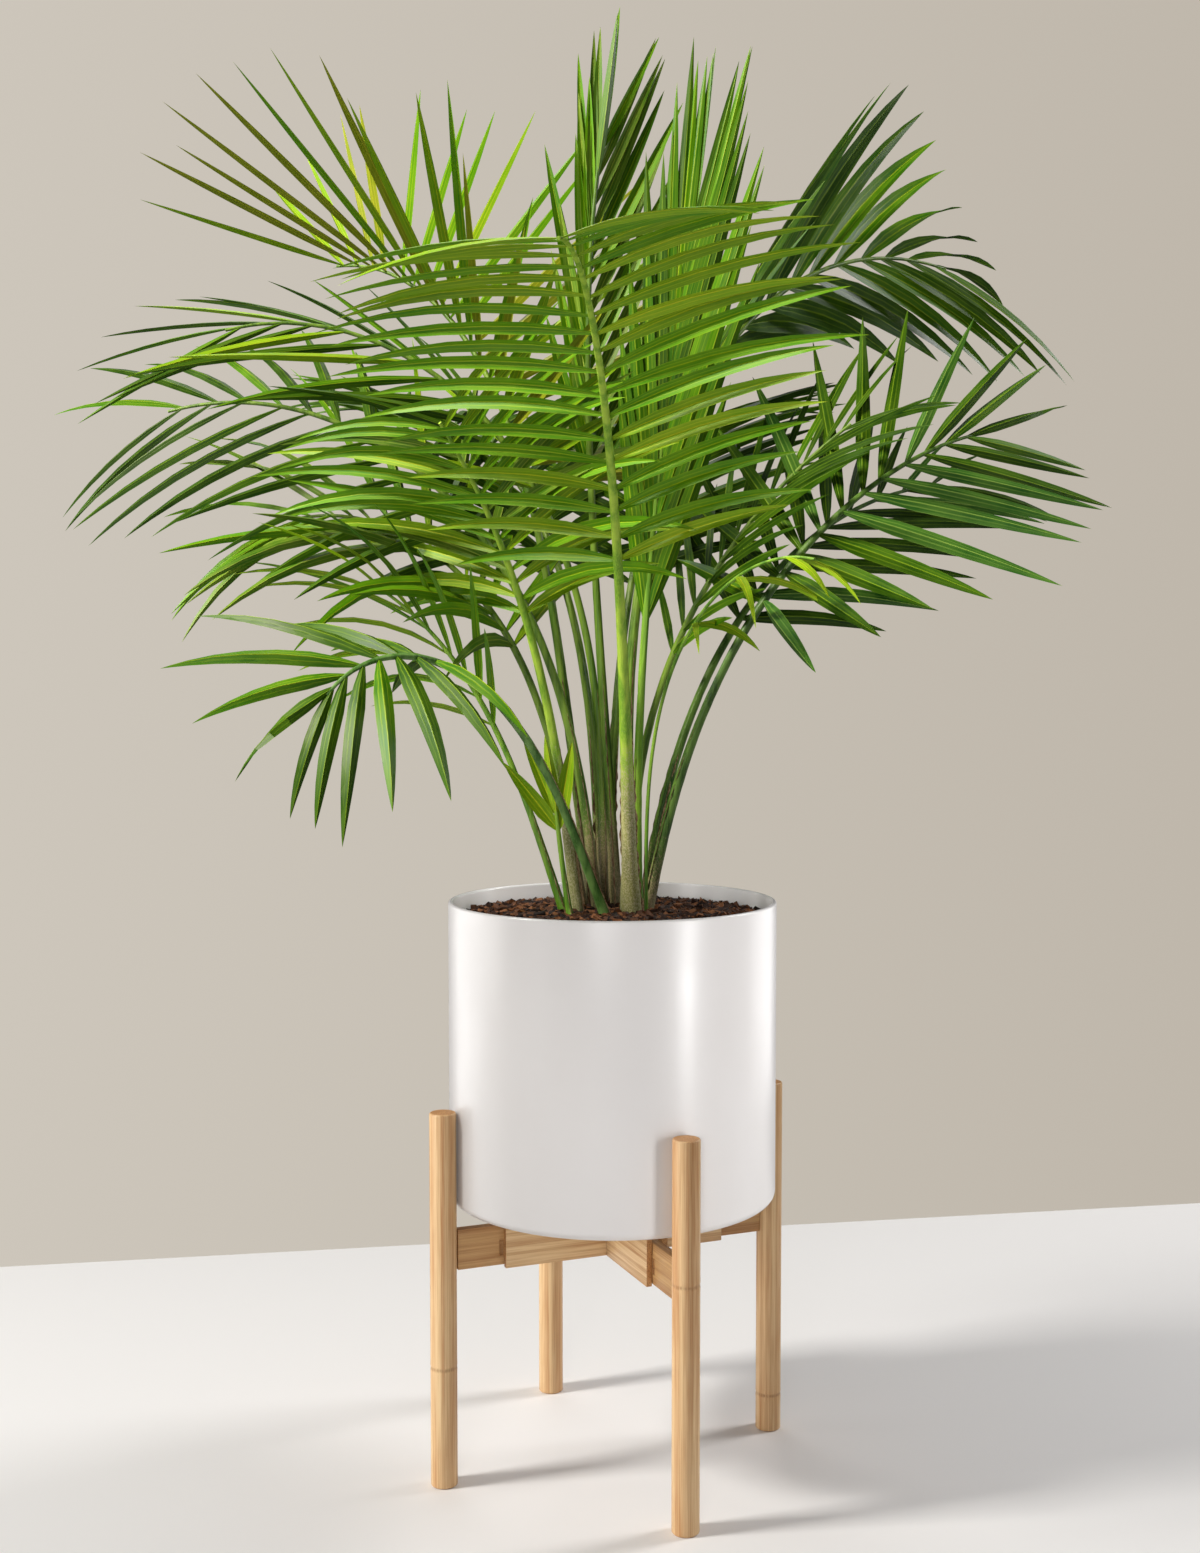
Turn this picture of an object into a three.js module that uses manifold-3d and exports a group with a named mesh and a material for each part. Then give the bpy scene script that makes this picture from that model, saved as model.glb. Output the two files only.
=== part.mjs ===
// Majesty palm in a white cylinder pot, on a four-legged bamboo stand.
// Millimetres, +Z up. The pot's axis is the Z axis, and the legs stand on z = 0.
// The fronds rise from the soil on bare petioles and arch outwards, with leaflets in pairs.
import * as THREE from "three";
import { mergeVertices } from "three/addons/utils/BufferGeometryUtils.js";
import Module from "manifold-3d";

const wasm = await Module();
wasm.setup();

// Clearance between neighbouring pieces, and how far a cutting box runs past what it cuts
const GAP = 0.3;
const PAST = 1;

// Stand: four round legs on one circle, and two beams that cross under the pot
const LEG = { radius: 10.6, height: 298.6, rounding: 1.5, arcSteps: 2, circle: 144, sides: 16 };
const STAND_TURN = 22.05;
const BEAM = { thickness: 18, bottom: 170.5, top: 207.5, slotDepth: 58 };
const SLAT = { thickness: 8, bottom: 172.5, top: 204.5 };
const SLAT_NOTCH = { width: 3.5, depth: 2, bottom: 180, top: 193 };
const BEAMS = [
  { name: "left_right", turn: STAND_TURN, halfLength: 95, lap: "top", ends: ["right", "left"] },
  { name: "front_back", turn: STAND_TURN - 90, halfLength: 91, lap: "bottom", ends: ["front", "back"] },
];

// Pot: straight wall, rounded bottom edge and a recessed foot that stands on the beams
const POT = { radius: 132.5, rim: 460, wall: 4, bottom: 219.5, fillet: 6.5, arcSteps: 4 };
const POT_FOOT = 77;
const POT_FLOOR = 226;
const POT_SIDES = 40;
const SOIL = { level: 450, edge: 444, radius: 127.6, flatRadius: 104 };

// Petioles and blades
const PETIOLE_SIDES = 8;
const PETIOLE_STEPS = 5;
const PETIOLE_TAPER = 1.4;
const RACHIS_SIDES = 4;
const RACHIS_STEP = 70;
const RACHIS_TIP = 1.2;
const CURVE_STEPS = 40;
const LEAFLET_STEPS = 8;
const SAG_POWER = 1.3;
// A leaflet's sections: share of its length, of its width, and of the ridge's height
const RIDGE = 2.4;
const STRAIGHT_LEAFLET = [[0, 0.25, 0.35], [0.42, 1, 1], [1, 0, 0]];
const ARCHED_LEAFLET = [[0, 0.25, 0.35], [0.33, 1, 1], [0.7, 0.7, 0.9], [1, 0, 0]];
const ARCHED_SAG = 0.55;
const TIP_NARROWING = 0.4;
// Lengths along a blade follow this arc of a sine, in degrees, from this share of the longest
const LENGTH_ARC = [27, 162];
const SHORTEST = 0.5;
// A blade that bends further than this, in degrees, is two nodes
const SPLIT_BEND = 68;

// Each frond: foot on the soil, compass angle it leans to and how far that turns, lean from upright
// at foot and tip, share of the length that is bare petiole, and the leaflets' angles in degrees.
// spread is from the rib, at the blade's base and tip, and skew is the difference of its two sides.
// lift is out of the blade's plane, and roll turns the blade about its rib. tilt turns each leaflet
// about itself, so that neighbours overlap like slats, and sag bends leaflets down. wild is how much
// the leaflets vary.
const FRONDS = [
  { name: "front", foot: [15, -8], azimuth: -96, turn: -1, lean: [17, 105], bend: 2.17, length: 670,
    petiole: 0.43, stem: 6.8, rib: 3.6, pairs: 19, leaf: 185, width: 14, spread: [75, 75], skew: 14,
    lift: 7, rise: -5, roll: [-25, 13], tilt: -22, sag: 0.4, wild: 0.7, color: 0x7fa04a },
  { name: "upleft", foot: [-17, 42], azimuth: 153, turn: -3, lean: [8, 90], bend: 3.6, length: 660,
    petiole: 0.53, stem: 5, rib: 3.2, pairs: 19, leaf: 260, width: 13, spread: [96, 46], skew: -7,
    lift: 39, rise: 4, roll: [67, -30], tilt: 22, sag: 0, wild: 1, color: 0x97b552 },
  { name: "top", foot: [4, 44], azimuth: 154, turn: 40, lean: [4, -9], bend: 3.6, length: 632,
    petiole: 0.54, stem: 5, rib: 3, pairs: 13, leaf: 183, width: 12, spread: [24, 8], skew: -10,
    lift: 27, rise: 0, roll: [84, 90], tilt: -22, sag: 0, wild: 1.2, color: 0x5f8540 },
  { name: "spear", foot: [21, 26], azimuth: -10, turn: 4, lean: [-3, 8], bend: 0.56, length: 519,
    petiole: 0.43, stem: 5, rib: 3, pairs: 13, leaf: 276, width: 15, spread: [13, 2], skew: 3,
    lift: 6, rise: 0, roll: [97, 94], tilt: -22, sag: 0, wild: 0.5, color: 0x9fb85c },
  { name: "upright", foot: [19, 58], azimuth: 57, turn: -20, lean: [-8, 96], bend: 1.36, length: 847,
    petiole: 0.46, stem: 5.5, rib: 3.4, pairs: 13, leaf: 270, width: 23, spread: [28, 24], skew: -2,
    lift: 4, rise: -1, roll: [82, -143], tilt: 10, sag: 0.5, wild: 0.3, color: 0x3f6a35 },
  { name: "right", foot: [29, 12], azimuth: -27, turn: 61, lean: [12, 77], bend: 1.61, length: 519,
    petiole: 0.5, stem: 4.8, rib: 3.4, pairs: 11, leaf: 183, width: 15, spread: [100, 10], skew: 9,
    lift: 5, rise: -8, roll: [-27, 88], tilt: -22, sag: 0.07, wild: 0.8, color: 0x5d8463 },
  { name: "rightback", foot: [27, 40], azimuth: 38, turn: -8, lean: [11, 85], bend: 1.35, length: 535,
    petiole: 0.46, stem: 4.6, rib: 3.2, pairs: 9, leaf: 168, width: 15, spread: [60, 26], skew: 0,
    lift: 5, rise: 0, roll: [60, 30], tilt: -22, sag: 0.3, wild: 1, color: 0x4d7654 },
  { name: "lowleft", foot: [-6, -20], azimuth: -144, turn: 6, lean: [24, 139], bend: 2.48, length: 368,
    petiole: 0.71, stem: 4.2, rib: 3, pairs: 7, leaf: 140, width: 17, spread: [115, 8], skew: 1,
    lift: -6, rise: 5, roll: [147, -75], tilt: 22, sag: 0.59, wild: 1, color: 0x86ab4b },
  { name: "farleft", foot: [-12, 22], azimuth: -178, turn: -6, lean: [6, 105], bend: 1.78, length: 616,
    petiole: 0.48, stem: 5, rib: 3.2, pairs: 12, leaf: 204, width: 15, spread: [82, 27], skew: 7,
    lift: -19, rise: -2, roll: [-6, -58], tilt: 22, sag: 0.36, wild: 1, color: 0x33592f },
  { name: "leftback", foot: [-7, 56], azimuth: 182, turn: 8, lean: [0, 107], bend: 2.1, length: 655,
    petiole: 0.48, stem: 4.5, rib: 3, pairs: 12, leaf: 210, width: 10, spread: [60, 22], skew: 0,
    lift: -21, rise: 0, roll: [-16, -37], tilt: -22, sag: 0.2, wild: 1.6, color: 0x7d9c4c },
  { name: "youngleft", foot: [-40, 8], azimuth: -176, turn: 10, lean: [18, 57], bend: 2.4, length: 303,
    petiole: 0.5, stem: 4, rib: 2.4, pairs: 7, leaf: 170, width: 9, spread: [52, 12], skew: 0,
    lift: -4, rise: 0, roll: [25, 30], tilt: 22, sag: 1, wild: 1.5, color: 0xa3c25a },
  { name: "leftfront", foot: [-29, 0], azimuth: -137, turn: 12, lean: [8, 48], bend: 1.75, length: 415,
    petiole: 0.58, stem: 5, rib: 3.2, pairs: 14, leaf: 177, width: 13, spread: [64, 54], skew: 0,
    lift: 10, rise: 0, roll: [-14, 24], tilt: -22, sag: 0.9, wild: 1.8, color: 0x6f9148 },
  { name: "leftmid", foot: [-24, 29], azimuth: -176, turn: -12, lean: [9, 99], bend: 2.25, length: 442,
    petiole: 0.48, stem: 4.5, rib: 3, pairs: 13, leaf: 209, width: 13, spread: [69, 26], skew: 0,
    lift: 15, rise: 0, roll: [-3, -50], tilt: -22, sag: 0.8, wild: 2, color: 0x678559 },
  { name: "rightmid", foot: [20, 76], azimuth: -14, turn: 0, lean: [-5, 54], bend: 1, length: 455,
    petiole: 0.45, stem: 4.5, rib: 3, pairs: 12, leaf: 170, width: 13, spread: [60, 34], skew: 0,
    lift: 5, rise: 0, roll: [30, 30], tilt: 0, sag: 0.3, wild: 1.2, color: 0x4f7342 },
  { name: "backleft", foot: [-10, 74], azimuth: 128, turn: 6, lean: [2, 84], bend: 1.8, length: 560,
    petiole: 0.48, stem: 5, rib: 3.2, pairs: 16, leaf: 180, width: 14, spread: [65, 35], skew: 0,
    lift: 10, rise: 0, roll: [0, 0], tilt: -22, sag: 0.5, wild: 1, color: 0x5f8540 },
  { name: "backright", foot: [-2, 92], azimuth: 70, turn: -4, lean: [3, 82], bend: 1.75, length: 570,
    petiole: 0.48, stem: 5, rib: 3.2, pairs: 16, leaf: 175, width: 14, spread: [65, 35], skew: 0,
    lift: 10, rise: 0, roll: [0, 0], tilt: -22, sag: 0.5, wild: 1, color: 0x557b3d },
  { name: "sprout", foot: [-34, -22], azimuth: 188, turn: 0, lean: [9, 6], bend: 1, length: 87,
    petiole: 0.72, stem: 3, rib: 2, pairs: 2, leaf: 76, width: 13, spread: [32, -2], skew: 9,
    lift: 0, rise: 0, roll: [90, 90], tilt: 0, sag: 0.05, wild: 0.5, color: 0x9fc23f },
  { name: "youngright", foot: [27, -4], azimuth: -35, turn: -8, lean: [0, 104], bend: 2.3, length: 370,
    petiole: 0.56, stem: 1.7, rib: 1.4, pairs: 3, leaf: 82, width: 8, spread: [80, 15], skew: 0,
    lift: -25, rise: 0, roll: [10, 10], tilt: 0, sag: 1.2, wild: 1, color: 0xa9c04f },
];

// Leaflets vary a little about the rule: place along the rib, spread, lift, length and share of sag
const SCATTER = { place: 0.15, spread: 3, lift: 4, length: 0.07, sag: 0.35 };
const SEED = 48271;
const RANDOM_MULTIPLIER = 16807;
const RANDOM_MODULUS = 2147483647;
// What a leaflet that would touch another frond tries before it is left out
const DETOURS = [
  { spread: 0, lift: 0, share: 1 }, { spread: 0, lift: 7, share: 1 }, { spread: 0, lift: -7, share: 1 },
  { spread: 7, lift: 0, share: 1 }, { spread: 0, lift: 14, share: 1 }, { spread: 0, lift: -14, share: 1 },
  { spread: 0, lift: 0, share: 0.8 }, { spread: 7, lift: 10, share: 0.8 },
  { spread: 7, lift: -10, share: 0.8 }, { spread: 0, lift: 0, share: 0.6 },
  { spread: 7, lift: 20, share: 0.6 }, { spread: 7, lift: -20, share: 0.6 },
];

const material = (color, roughness) => new THREE.MeshStandardMaterial({ color, roughness, metalness: 0 });
const BAMBOO = material(0xd9b27c, 0.5);
const WHITE = material(0xe8e4e2, 0.35);
const BARK_SOIL = material(0x3a2a20, 0.95);
const STEM_GREEN = material(0x86984f, 0.55);

const lerp = THREE.MathUtils.lerp;
const radians = THREE.MathUtils.degToRad;

// A geometry as a closed solid: vertices merged by place, and the empty faces at a pole dropped.
function solidOf(geometry) {
  const bare = geometry.clone();
  bare.deleteAttribute("normal");
  bare.deleteAttribute("uv");
  const merged = mergeVertices(bare, 1e-4);
  const corners = merged.index.array;
  const kept = [];
  for (let i = 0; i < corners.length; i += 3) {
    const [a, b, c] = corners.slice(i, i + 3);
    if (a !== b && b !== c && c !== a) kept.push(a, b, c);
  }
  const vertProperties = merged.attributes.position.array;
  return new wasm.Manifold(new wasm.Mesh({ numProp: 3, vertProperties, triVerts: new Uint32Array(kept) }));
}

function geometryOf(solid) {
  const { vertProperties, triVerts } = solid.getMesh();
  const geometry = new THREE.BufferGeometry();
  geometry.setAttribute("position", new THREE.BufferAttribute(vertProperties, 3));
  geometry.setIndex(new THREE.BufferAttribute(triVerts, 1));
  geometry.computeVertexNormals();
  return geometry;
}

function meshOf(name, solid, look) {
  const mesh = new THREE.Mesh(geometryOf(solid), look);
  mesh.name = name;
  return mesh;
}

// A box between two corners
function box(low, high) {
  const size = high.map((value, axis) => value - low[axis]);
  const middle = high.map((value, axis) => (value + low[axis]) / 2);
  return solidOf(new THREE.BoxGeometry(...size).translate(...middle));
}

// A profile of [radius, height] pairs, from the axis round to the axis, turned about Z
function turned(profile, sides) {
  const points = profile.map(([radius, height]) => new THREE.Vector2(radius, height));
  return solidOf(new THREE.LatheGeometry(points, sides).rotateX(Math.PI / 2));
}

// The points of an arc about [radius, height], both ends included
function arc(centre, radius, fromDegrees, toDegrees, steps) {
  const at = (k) => radians(lerp(fromDegrees, toDegrees, k / steps));
  return Array.from({ length: steps + 1 }, (_, k) => [
    centre[0] + radius * Math.cos(at(k)),
    centre[1] + radius * Math.sin(at(k)),
  ]);
}

// A skin over rings of points with flat ends
function loft(rings) {
  const sides = rings[0].length;
  const triangles = [];
  for (let k = 1; k < rings.length; k += 1) {
    for (let i = 0; i < sides; i += 1) {
      const a = (k - 1) * sides + i;
      const b = (k - 1) * sides + ((i + 1) % sides);
      triangles.push(a, b, b + sides, a, b + sides, a + sides);
    }
  }
  const last = (rings.length - 1) * sides;
  for (let i = 1; i < sides - 1; i += 1) triangles.push(0, i + 1, i, last, last + i, last + i + 1);
  const geometry = new THREE.BufferGeometry().setFromPoints(rings.flat());
  return solidOf(geometry.setIndex(triangles));
}

function leg(degrees) {
  const { radius, height, rounding, arcSteps, circle, sides } = LEG;
  const inner = radius - rounding;
  const foot = arc([inner, rounding], rounding, -90, 0, arcSteps);
  const head = arc([inner, height - rounding], rounding, 0, 90, arcSteps);
  const solid = turned([[0, 0], ...foot, ...head, [0, height]], sides);
  return solid.translate([circle * Math.cos(radians(degrees)), circle * Math.sin(radians(degrees)), 0]);
}

// A beam along X: two end slots for the slats, and half of its depth cut away where the beams cross
function beam({ halfLength, lap }) {
  const half = BEAM.thickness / 2;
  const slot = SLAT.thickness / 2 + GAP;
  const middle = (BEAM.bottom + BEAM.top) / 2;
  const lapLow = lap === "top" ? middle - GAP / 2 : BEAM.bottom - PAST;
  const lapHigh = lap === "top" ? BEAM.top + PAST : middle + GAP / 2;
  let solid = box([-halfLength, -half, BEAM.bottom], [halfLength, half, BEAM.top]);
  solid = solid.subtract(box([-half - GAP, -half - PAST, lapLow], [half + GAP, half + PAST, lapHigh]));
  for (const end of [-1, 1]) {
    const inner = end * (halfLength - BEAM.slotDepth);
    const outer = end * (halfLength + PAST);
    const low = [Math.min(inner, outer), -slot, BEAM.bottom - PAST];
    solid = solid.subtract(box(low, [Math.max(inner, outer), slot, BEAM.top + PAST]));
  }
  return solid;
}

// A slat along +X, from inside the beam's slot to the leg, with a notch just outside the beam
function slat({ halfLength }) {
  const half = SLAT.thickness / 2;
  const inner = halfLength - BEAM.slotDepth + GAP;
  const outer = LEG.circle - LEG.radius - GAP;
  let solid = box([inner, -half, SLAT.bottom], [outer, half, SLAT.top]);
  for (const side of [-1, 1]) {
    const cut = [side * (half - SLAT_NOTCH.depth), side * (half + PAST)].sort((a, b) => a - b);
    const low = [halfLength, cut[0], SLAT_NOTCH.bottom];
    solid = solid.subtract(box(low, [halfLength + SLAT_NOTCH.width, cut[1], SLAT_NOTCH.top]));
  }
  return solid;
}

function stand() {
  const group = new THREE.Group();
  for (const one of BEAMS) {
    group.add(meshOf("beam_" + one.name, beam(one).rotate([0, 0, one.turn]), BAMBOO));
    one.ends.forEach((end, k) => {
      const degrees = one.turn + 180 * k;
      group.add(meshOf("slat_" + end, slat(one).rotate([0, 0, degrees]), BAMBOO));
      group.add(meshOf("leg_" + end, leg(degrees), BAMBOO));
    });
  }
  return group;
}

function pot() {
  const { radius, rim, wall, bottom, fillet, arcSteps } = POT;
  const footBottom = BEAM.top + GAP;
  const profile = [
    [0, footBottom],
    [POT_FOOT, footBottom],
    [POT_FOOT, bottom],
    ...arc([radius - fillet, bottom + fillet], fillet, -90, 0, arcSteps),
    ...arc([radius - wall / 2, rim - wall / 2], wall / 2, 0, 180, arcSteps),
    [radius - wall, POT_FLOOR],
    [0, POT_FLOOR],
  ];
  return meshOf("pot", turned(profile, POT_SIDES), WHITE);
}

function soil() {
  const bottom = POT_FLOOR + GAP;
  const surface = [[SOIL.radius, SOIL.edge], [SOIL.flatRadius, SOIL.level], [0, SOIL.level]];
  const profile = [[0, bottom], [SOIL.radius, bottom], ...surface];
  return meshOf("soil", turned(profile, POT_SIDES), BARK_SOIL);
}

// A seeded run of values from -1 to 1, the same every time
function scatter(seed) {
  let state = seed;
  return () => {
    state = (state * RANDOM_MULTIPLIER) % RANDOM_MODULUS;
    return (2 * state) / RANDOM_MODULUS - 1;
  };
}

// The way a frond runs at share s of its length, its left side, and its upper side
function axesAt(frond, s) {
  const lean = radians(lerp(frond.lean[0], frond.lean[1], s ** frond.bend));
  const azimuth = radians(frond.azimuth + frond.turn * s);
  const [sin, cos] = [Math.sin(lean), Math.cos(lean)];
  const [x, y] = [Math.cos(azimuth), Math.sin(azimuth)];
  return {
    along: new THREE.Vector3(sin * x, sin * y, cos),
    left: new THREE.Vector3(-y, x, 0),
    upper: new THREE.Vector3(-cos * x, -cos * y, sin),
  };
}

// The frond's centre line, as points at even shares of its length
function centreLine(frond) {
  const step = frond.length / CURVE_STEPS;
  const line = [new THREE.Vector3(frond.foot[0], frond.foot[1], SOIL.level + GAP)];
  for (let k = 0; k < CURVE_STEPS; k += 1) {
    const { along } = axesAt(frond, (k + 0.5) / CURVE_STEPS);
    line.push(line[k].clone().addScaledVector(along, step));
  }
  return line;
}

// The same axes rolled with the blade: along the rib, across it to the left, and out of its face
function bladeAxes(frond, s) {
  const { along, left, upper } = axesAt(frond, s);
  const roll = radians(lerp(frond.roll[0], frond.roll[1], s));
  const across = left.clone().multiplyScalar(Math.cos(roll)).addScaledVector(upper, Math.sin(roll));
  return { along, across, face: along.clone().cross(across) };
}

function pointAt(line, s) {
  const place = s * CURVE_STEPS;
  const k = Math.min(Math.floor(place), CURVE_STEPS - 1);
  return line[k].clone().lerp(line[k + 1], place - k);
}

// A ring of points about the centre line, square to it
function ring(centre, left, upper, radius, sides) {
  return Array.from({ length: sides }, (_, k) => {
    const angle = ((k + 0.5) / sides) * 2 * Math.PI;
    const point = centre.clone().addScaledVector(left, radius * Math.cos(angle));
    return point.addScaledVector(upper, radius * Math.sin(angle));
  });
}

// A petiole, thick at its flat-cut foot and thinning to where the blade starts
function petiole(frond) {
  const line = centreLine(frond);
  const end = frond.petiole - GAP / frond.length;
  const rings = [];
  for (let k = 0; k <= PETIOLE_STEPS; k += 1) {
    const s = (end * k) / PETIOLE_STEPS;
    const { left, upper } = axesAt(frond, s);
    const radius = lerp(frond.rib, frond.stem, (1 - k / PETIOLE_STEPS) ** PETIOLE_TAPER);
    const flat = new THREE.Vector3(upper.x, upper.y, 0).normalize();
    rings.push(ring(pointAt(line, s), left, k ? upper : flat, radius, PETIOLE_SIDES));
  }
  return loft(rings);
}

function rachis(frond, from, to) {
  const line = centreLine(frond);
  const steps = Math.max(2, Math.round(((to - from) * frond.length) / RACHIS_STEP));
  const rings = [];
  for (let k = 0; k <= steps; k += 1) {
    const s = lerp(from, to, k / steps);
    const { across, face } = bladeAxes(frond, s);
    const radius = lerp(frond.rib, RACHIS_TIP, (s - frond.petiole) / (1 - frond.petiole));
    rings.push(ring(pointAt(line, s), across, face, radius, RACHIS_SIDES));
  }
  return loft(rings);
}

// Where each leaflet of a frond starts and how it points. Side 1 is the frond's left.
function leafletPlan(frond) {
  const next = scatter(SEED * (1 + FRONDS.indexOf(frond)));
  const plan = [];
  for (let k = 0; k < frond.pairs; k += 1) {
    for (const side of [1, -1]) {
      const u = (k + 0.5) / frond.pairs;
      const [place, spread, lift, length, sag] = Array.from({ length: 5 }, next);
      const turn = frond.wild * SCATTER.spread * spread - side * frond.skew;
      const shift = k < frond.pairs - 1 ? (SCATTER.place * place) / frond.pairs : 0;
      plan.push({
        side,
        s: lerp(frond.petiole, 1, u + shift),
        spread: lerp(frond.spread[0], frond.spread[1], u) + turn,
        lift: frond.lift + frond.wild * SCATTER.lift * lift + side * frond.rise,
        sag: frond.sag * (1 + frond.wild * SCATTER.sag * sag),
        length: frond.leaf * leafletShare(u) * (1 + SCATTER.length * length),
        width: frond.width * (1 - TIP_NARROWING * u * u),
      });
    }
  }
  return plan;
}

// Leaflets are longest just below the middle of the blade, and shortest at its tip
function leafletShare(u) {
  return lerp(SHORTEST, 1, Math.sin(radians(lerp(LENGTH_ARC[0], LENGTH_ARC[1], u))));
}

// A leaflet's midline, which sags as it goes. It starts inside the rib.
function leafletLine(frond, leaflet) {
  const { along, across, face } = bladeAxes(frond, leaflet.s);
  const spread = radians(leaflet.spread);
  const lift = radians(leaflet.lift);
  const start = along.clone().multiplyScalar(Math.cos(spread));
  start.addScaledVector(across, Math.sin(spread) * leaflet.side * Math.cos(lift));
  start.addScaledVector(face, Math.sin(spread) * Math.sin(lift));
  const points = [pointAt(centreLine(frond), leaflet.s)];
  for (let k = 0; k < LEAFLET_STEPS; k += 1) {
    const pull = leaflet.sag * ((k + 0.5) / LEAFLET_STEPS) ** SAG_POWER;
    const way = start.clone().multiplyScalar(1 + pull * start.z);
    way.z -= pull;
    points.push(points[k].clone().addScaledVector(way.normalize(), leaflet.length / LEAFLET_STEPS));
  }
  return points;
}

// A leaflet as a keeled blade with a flat underside. A margin makes it larger all round.
function leafletSolid(frond, leaflet, margin) {
  const line = leafletLine(frond, leaflet);
  const { along } = axesAt(frond, leaflet.s);
  const sections = frond.sag < ARCHED_SAG ? STRAIGHT_LEAFLET : ARCHED_LEAFLET;
  const rings = sections.map(([t, share, rise]) => {
    const k = Math.min(Math.floor(t * LEAFLET_STEPS), LEAFLET_STEPS - 1);
    const centre = line[k].clone().lerp(line[k + 1], t * LEAFLET_STEPS - k);
    const way = line[k + 1].clone().sub(line[k]).normalize();
    const wide = along.clone().addScaledVector(way, -along.dot(way)).normalize();
    wide.applyAxisAngle(way, leaflet.side * radians(frond.tilt));
    const ridge = new THREE.Vector3().crossVectors(wide, way).multiplyScalar(leaflet.side);
    const height = RIDGE * rise;
    const slope = margin > 0 ? (height + 2 * margin) / (height + margin) : 1;
    const reach = -leaflet.side * slope * (0.5 * leaflet.width * share + margin);
    if (t === 1) centre.addScaledVector(way, margin);
    const low = centre.clone().addScaledVector(ridge, -margin);
    return [
      low.clone().addScaledVector(wide, reach),
      centre.clone().addScaledVector(ridge, height + margin),
      low.clone().addScaledVector(wide, -reach),
    ];
  });
  return loft(rings);
}

// The stretches of a blade that are nodes of their own: one, or two where it bends round far
function bladeStretches(frond) {
  const name = "frond_" + frond.name;
  const bend = THREE.MathUtils.radToDeg(axesAt(frond, 1).along.angleTo(axesAt(frond, frond.petiole).along));
  if (bend < SPLIT_BEND) return [{ name, from: frond.petiole, to: 1 }];
  const half = Math.round(frond.pairs / 2) / frond.pairs;
  const split = lerp(frond.petiole, 1, half);
  const gap = GAP / frond.length;
  return [{ name, from: frond.petiole, to: split - gap }, { name: name + "_tip", from: split, to: 1 }];
}

function boxesMeet(a, b) {
  return [0, 1, 2].every((axis) => a.min[axis] <= b.max[axis] && b.min[axis] <= a.max[axis]);
}

function meet(a, b) {
  const common = a.intersect(b);
  const found = !common.isEmpty();
  common.delete();
  return found;
}

// Everything set down so far, so that a leaflet can keep clear of all nodes but its own
const setDown = [];

function put(node, solid) {
  setDown.push({ node, solid, box: solid.boundingBox() });
  return solid;
}

function isClear(node, solid) {
  const own = solid.boundingBox();
  return !setDown.some((one) => one.node !== node && boxesMeet(own, one.box) && meet(solid, one.solid));
}

// The leaflet as planned, or turned or shortened until it touches no other node, or nothing
function fittedLeaflet(frond, leaflet, node) {
  for (const { spread, lift, share } of DETOURS) {
    const changed = {
      ...leaflet,
      spread: leaflet.spread + spread,
      lift: leaflet.lift + lift,
      length: leaflet.length * share,
    };
    const wider = leafletSolid(frond, changed, GAP);
    const clear = isClear(node, wider);
    wider.delete();
    if (clear) return put(node, leafletSolid(frond, changed, 0));
  }
  return null;
}

// One solid out of a rib and its leaflets, without the small hollows that joining can enclose
function fused(solids) {
  const bodies = wasm.Manifold.union(solids).decompose();
  return bodies.reduce((most, body) => (body.volume() > most.volume() ? body : most));
}

function plant() {
  const group = new THREE.Group();
  const blades = [];
  for (const frond of FRONDS) {
    const name = "petiole_" + frond.name;
    group.add(meshOf(name, put(name, petiole(frond)), STEM_GREEN));
    for (const stretch of bladeStretches(frond)) {
      const rib = put(stretch.name, rachis(frond, stretch.from, stretch.to));
      blades.push({ frond, ...stretch, rib });
    }
  }
  for (const { frond, name, from, to, rib } of blades) {
    const own = leafletPlan(frond).filter(({ s }) => s > from && s < to);
    const leaflets = own.map((leaflet) => fittedLeaflet(frond, leaflet, name)).filter(Boolean);
    group.add(meshOf(name, fused([rib, ...leaflets]), material(frond.color, 0.5)));
  }
  return group;
}

const palm = new THREE.Group();
palm.add(stand(), pot(), soil(), plant());

export default palm;
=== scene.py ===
# Majesty palm in a white cylinder pot, on a four-legged bamboo stand.
# Metres, +Z up. The pot's axis is the Z axis, and the legs stand on z = 0.
import random
from math import cos, degrees, floor as whole, pi, radians, sin

import bmesh
import bpy
import numpy as np
from mathutils import Matrix, Quaternion, Vector, noise


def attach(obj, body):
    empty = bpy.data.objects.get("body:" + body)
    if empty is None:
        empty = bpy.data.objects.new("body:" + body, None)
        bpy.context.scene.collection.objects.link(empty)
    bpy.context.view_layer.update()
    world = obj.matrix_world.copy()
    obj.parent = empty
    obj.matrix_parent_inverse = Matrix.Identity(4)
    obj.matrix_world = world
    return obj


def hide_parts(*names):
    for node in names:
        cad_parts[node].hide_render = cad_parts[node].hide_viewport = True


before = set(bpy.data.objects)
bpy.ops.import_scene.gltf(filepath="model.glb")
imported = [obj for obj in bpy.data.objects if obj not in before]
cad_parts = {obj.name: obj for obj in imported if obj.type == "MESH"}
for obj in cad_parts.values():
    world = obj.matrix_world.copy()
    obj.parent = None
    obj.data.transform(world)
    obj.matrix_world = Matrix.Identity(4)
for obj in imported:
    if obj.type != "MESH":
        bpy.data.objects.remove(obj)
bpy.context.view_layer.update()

# Camera: 1.43 m in front of the pot's axis and 0.64 m up, tipped a little down.
scene = bpy.context.scene
photo_camera = bpy.data.cameras.new("photo_camera")
photo_camera.lens = 41.15
photo_camera.sensor_width = 36
camera = bpy.data.objects.new("camera", photo_camera)
camera.location = (-0.00999, -1.43105, 0.63715)
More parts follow.
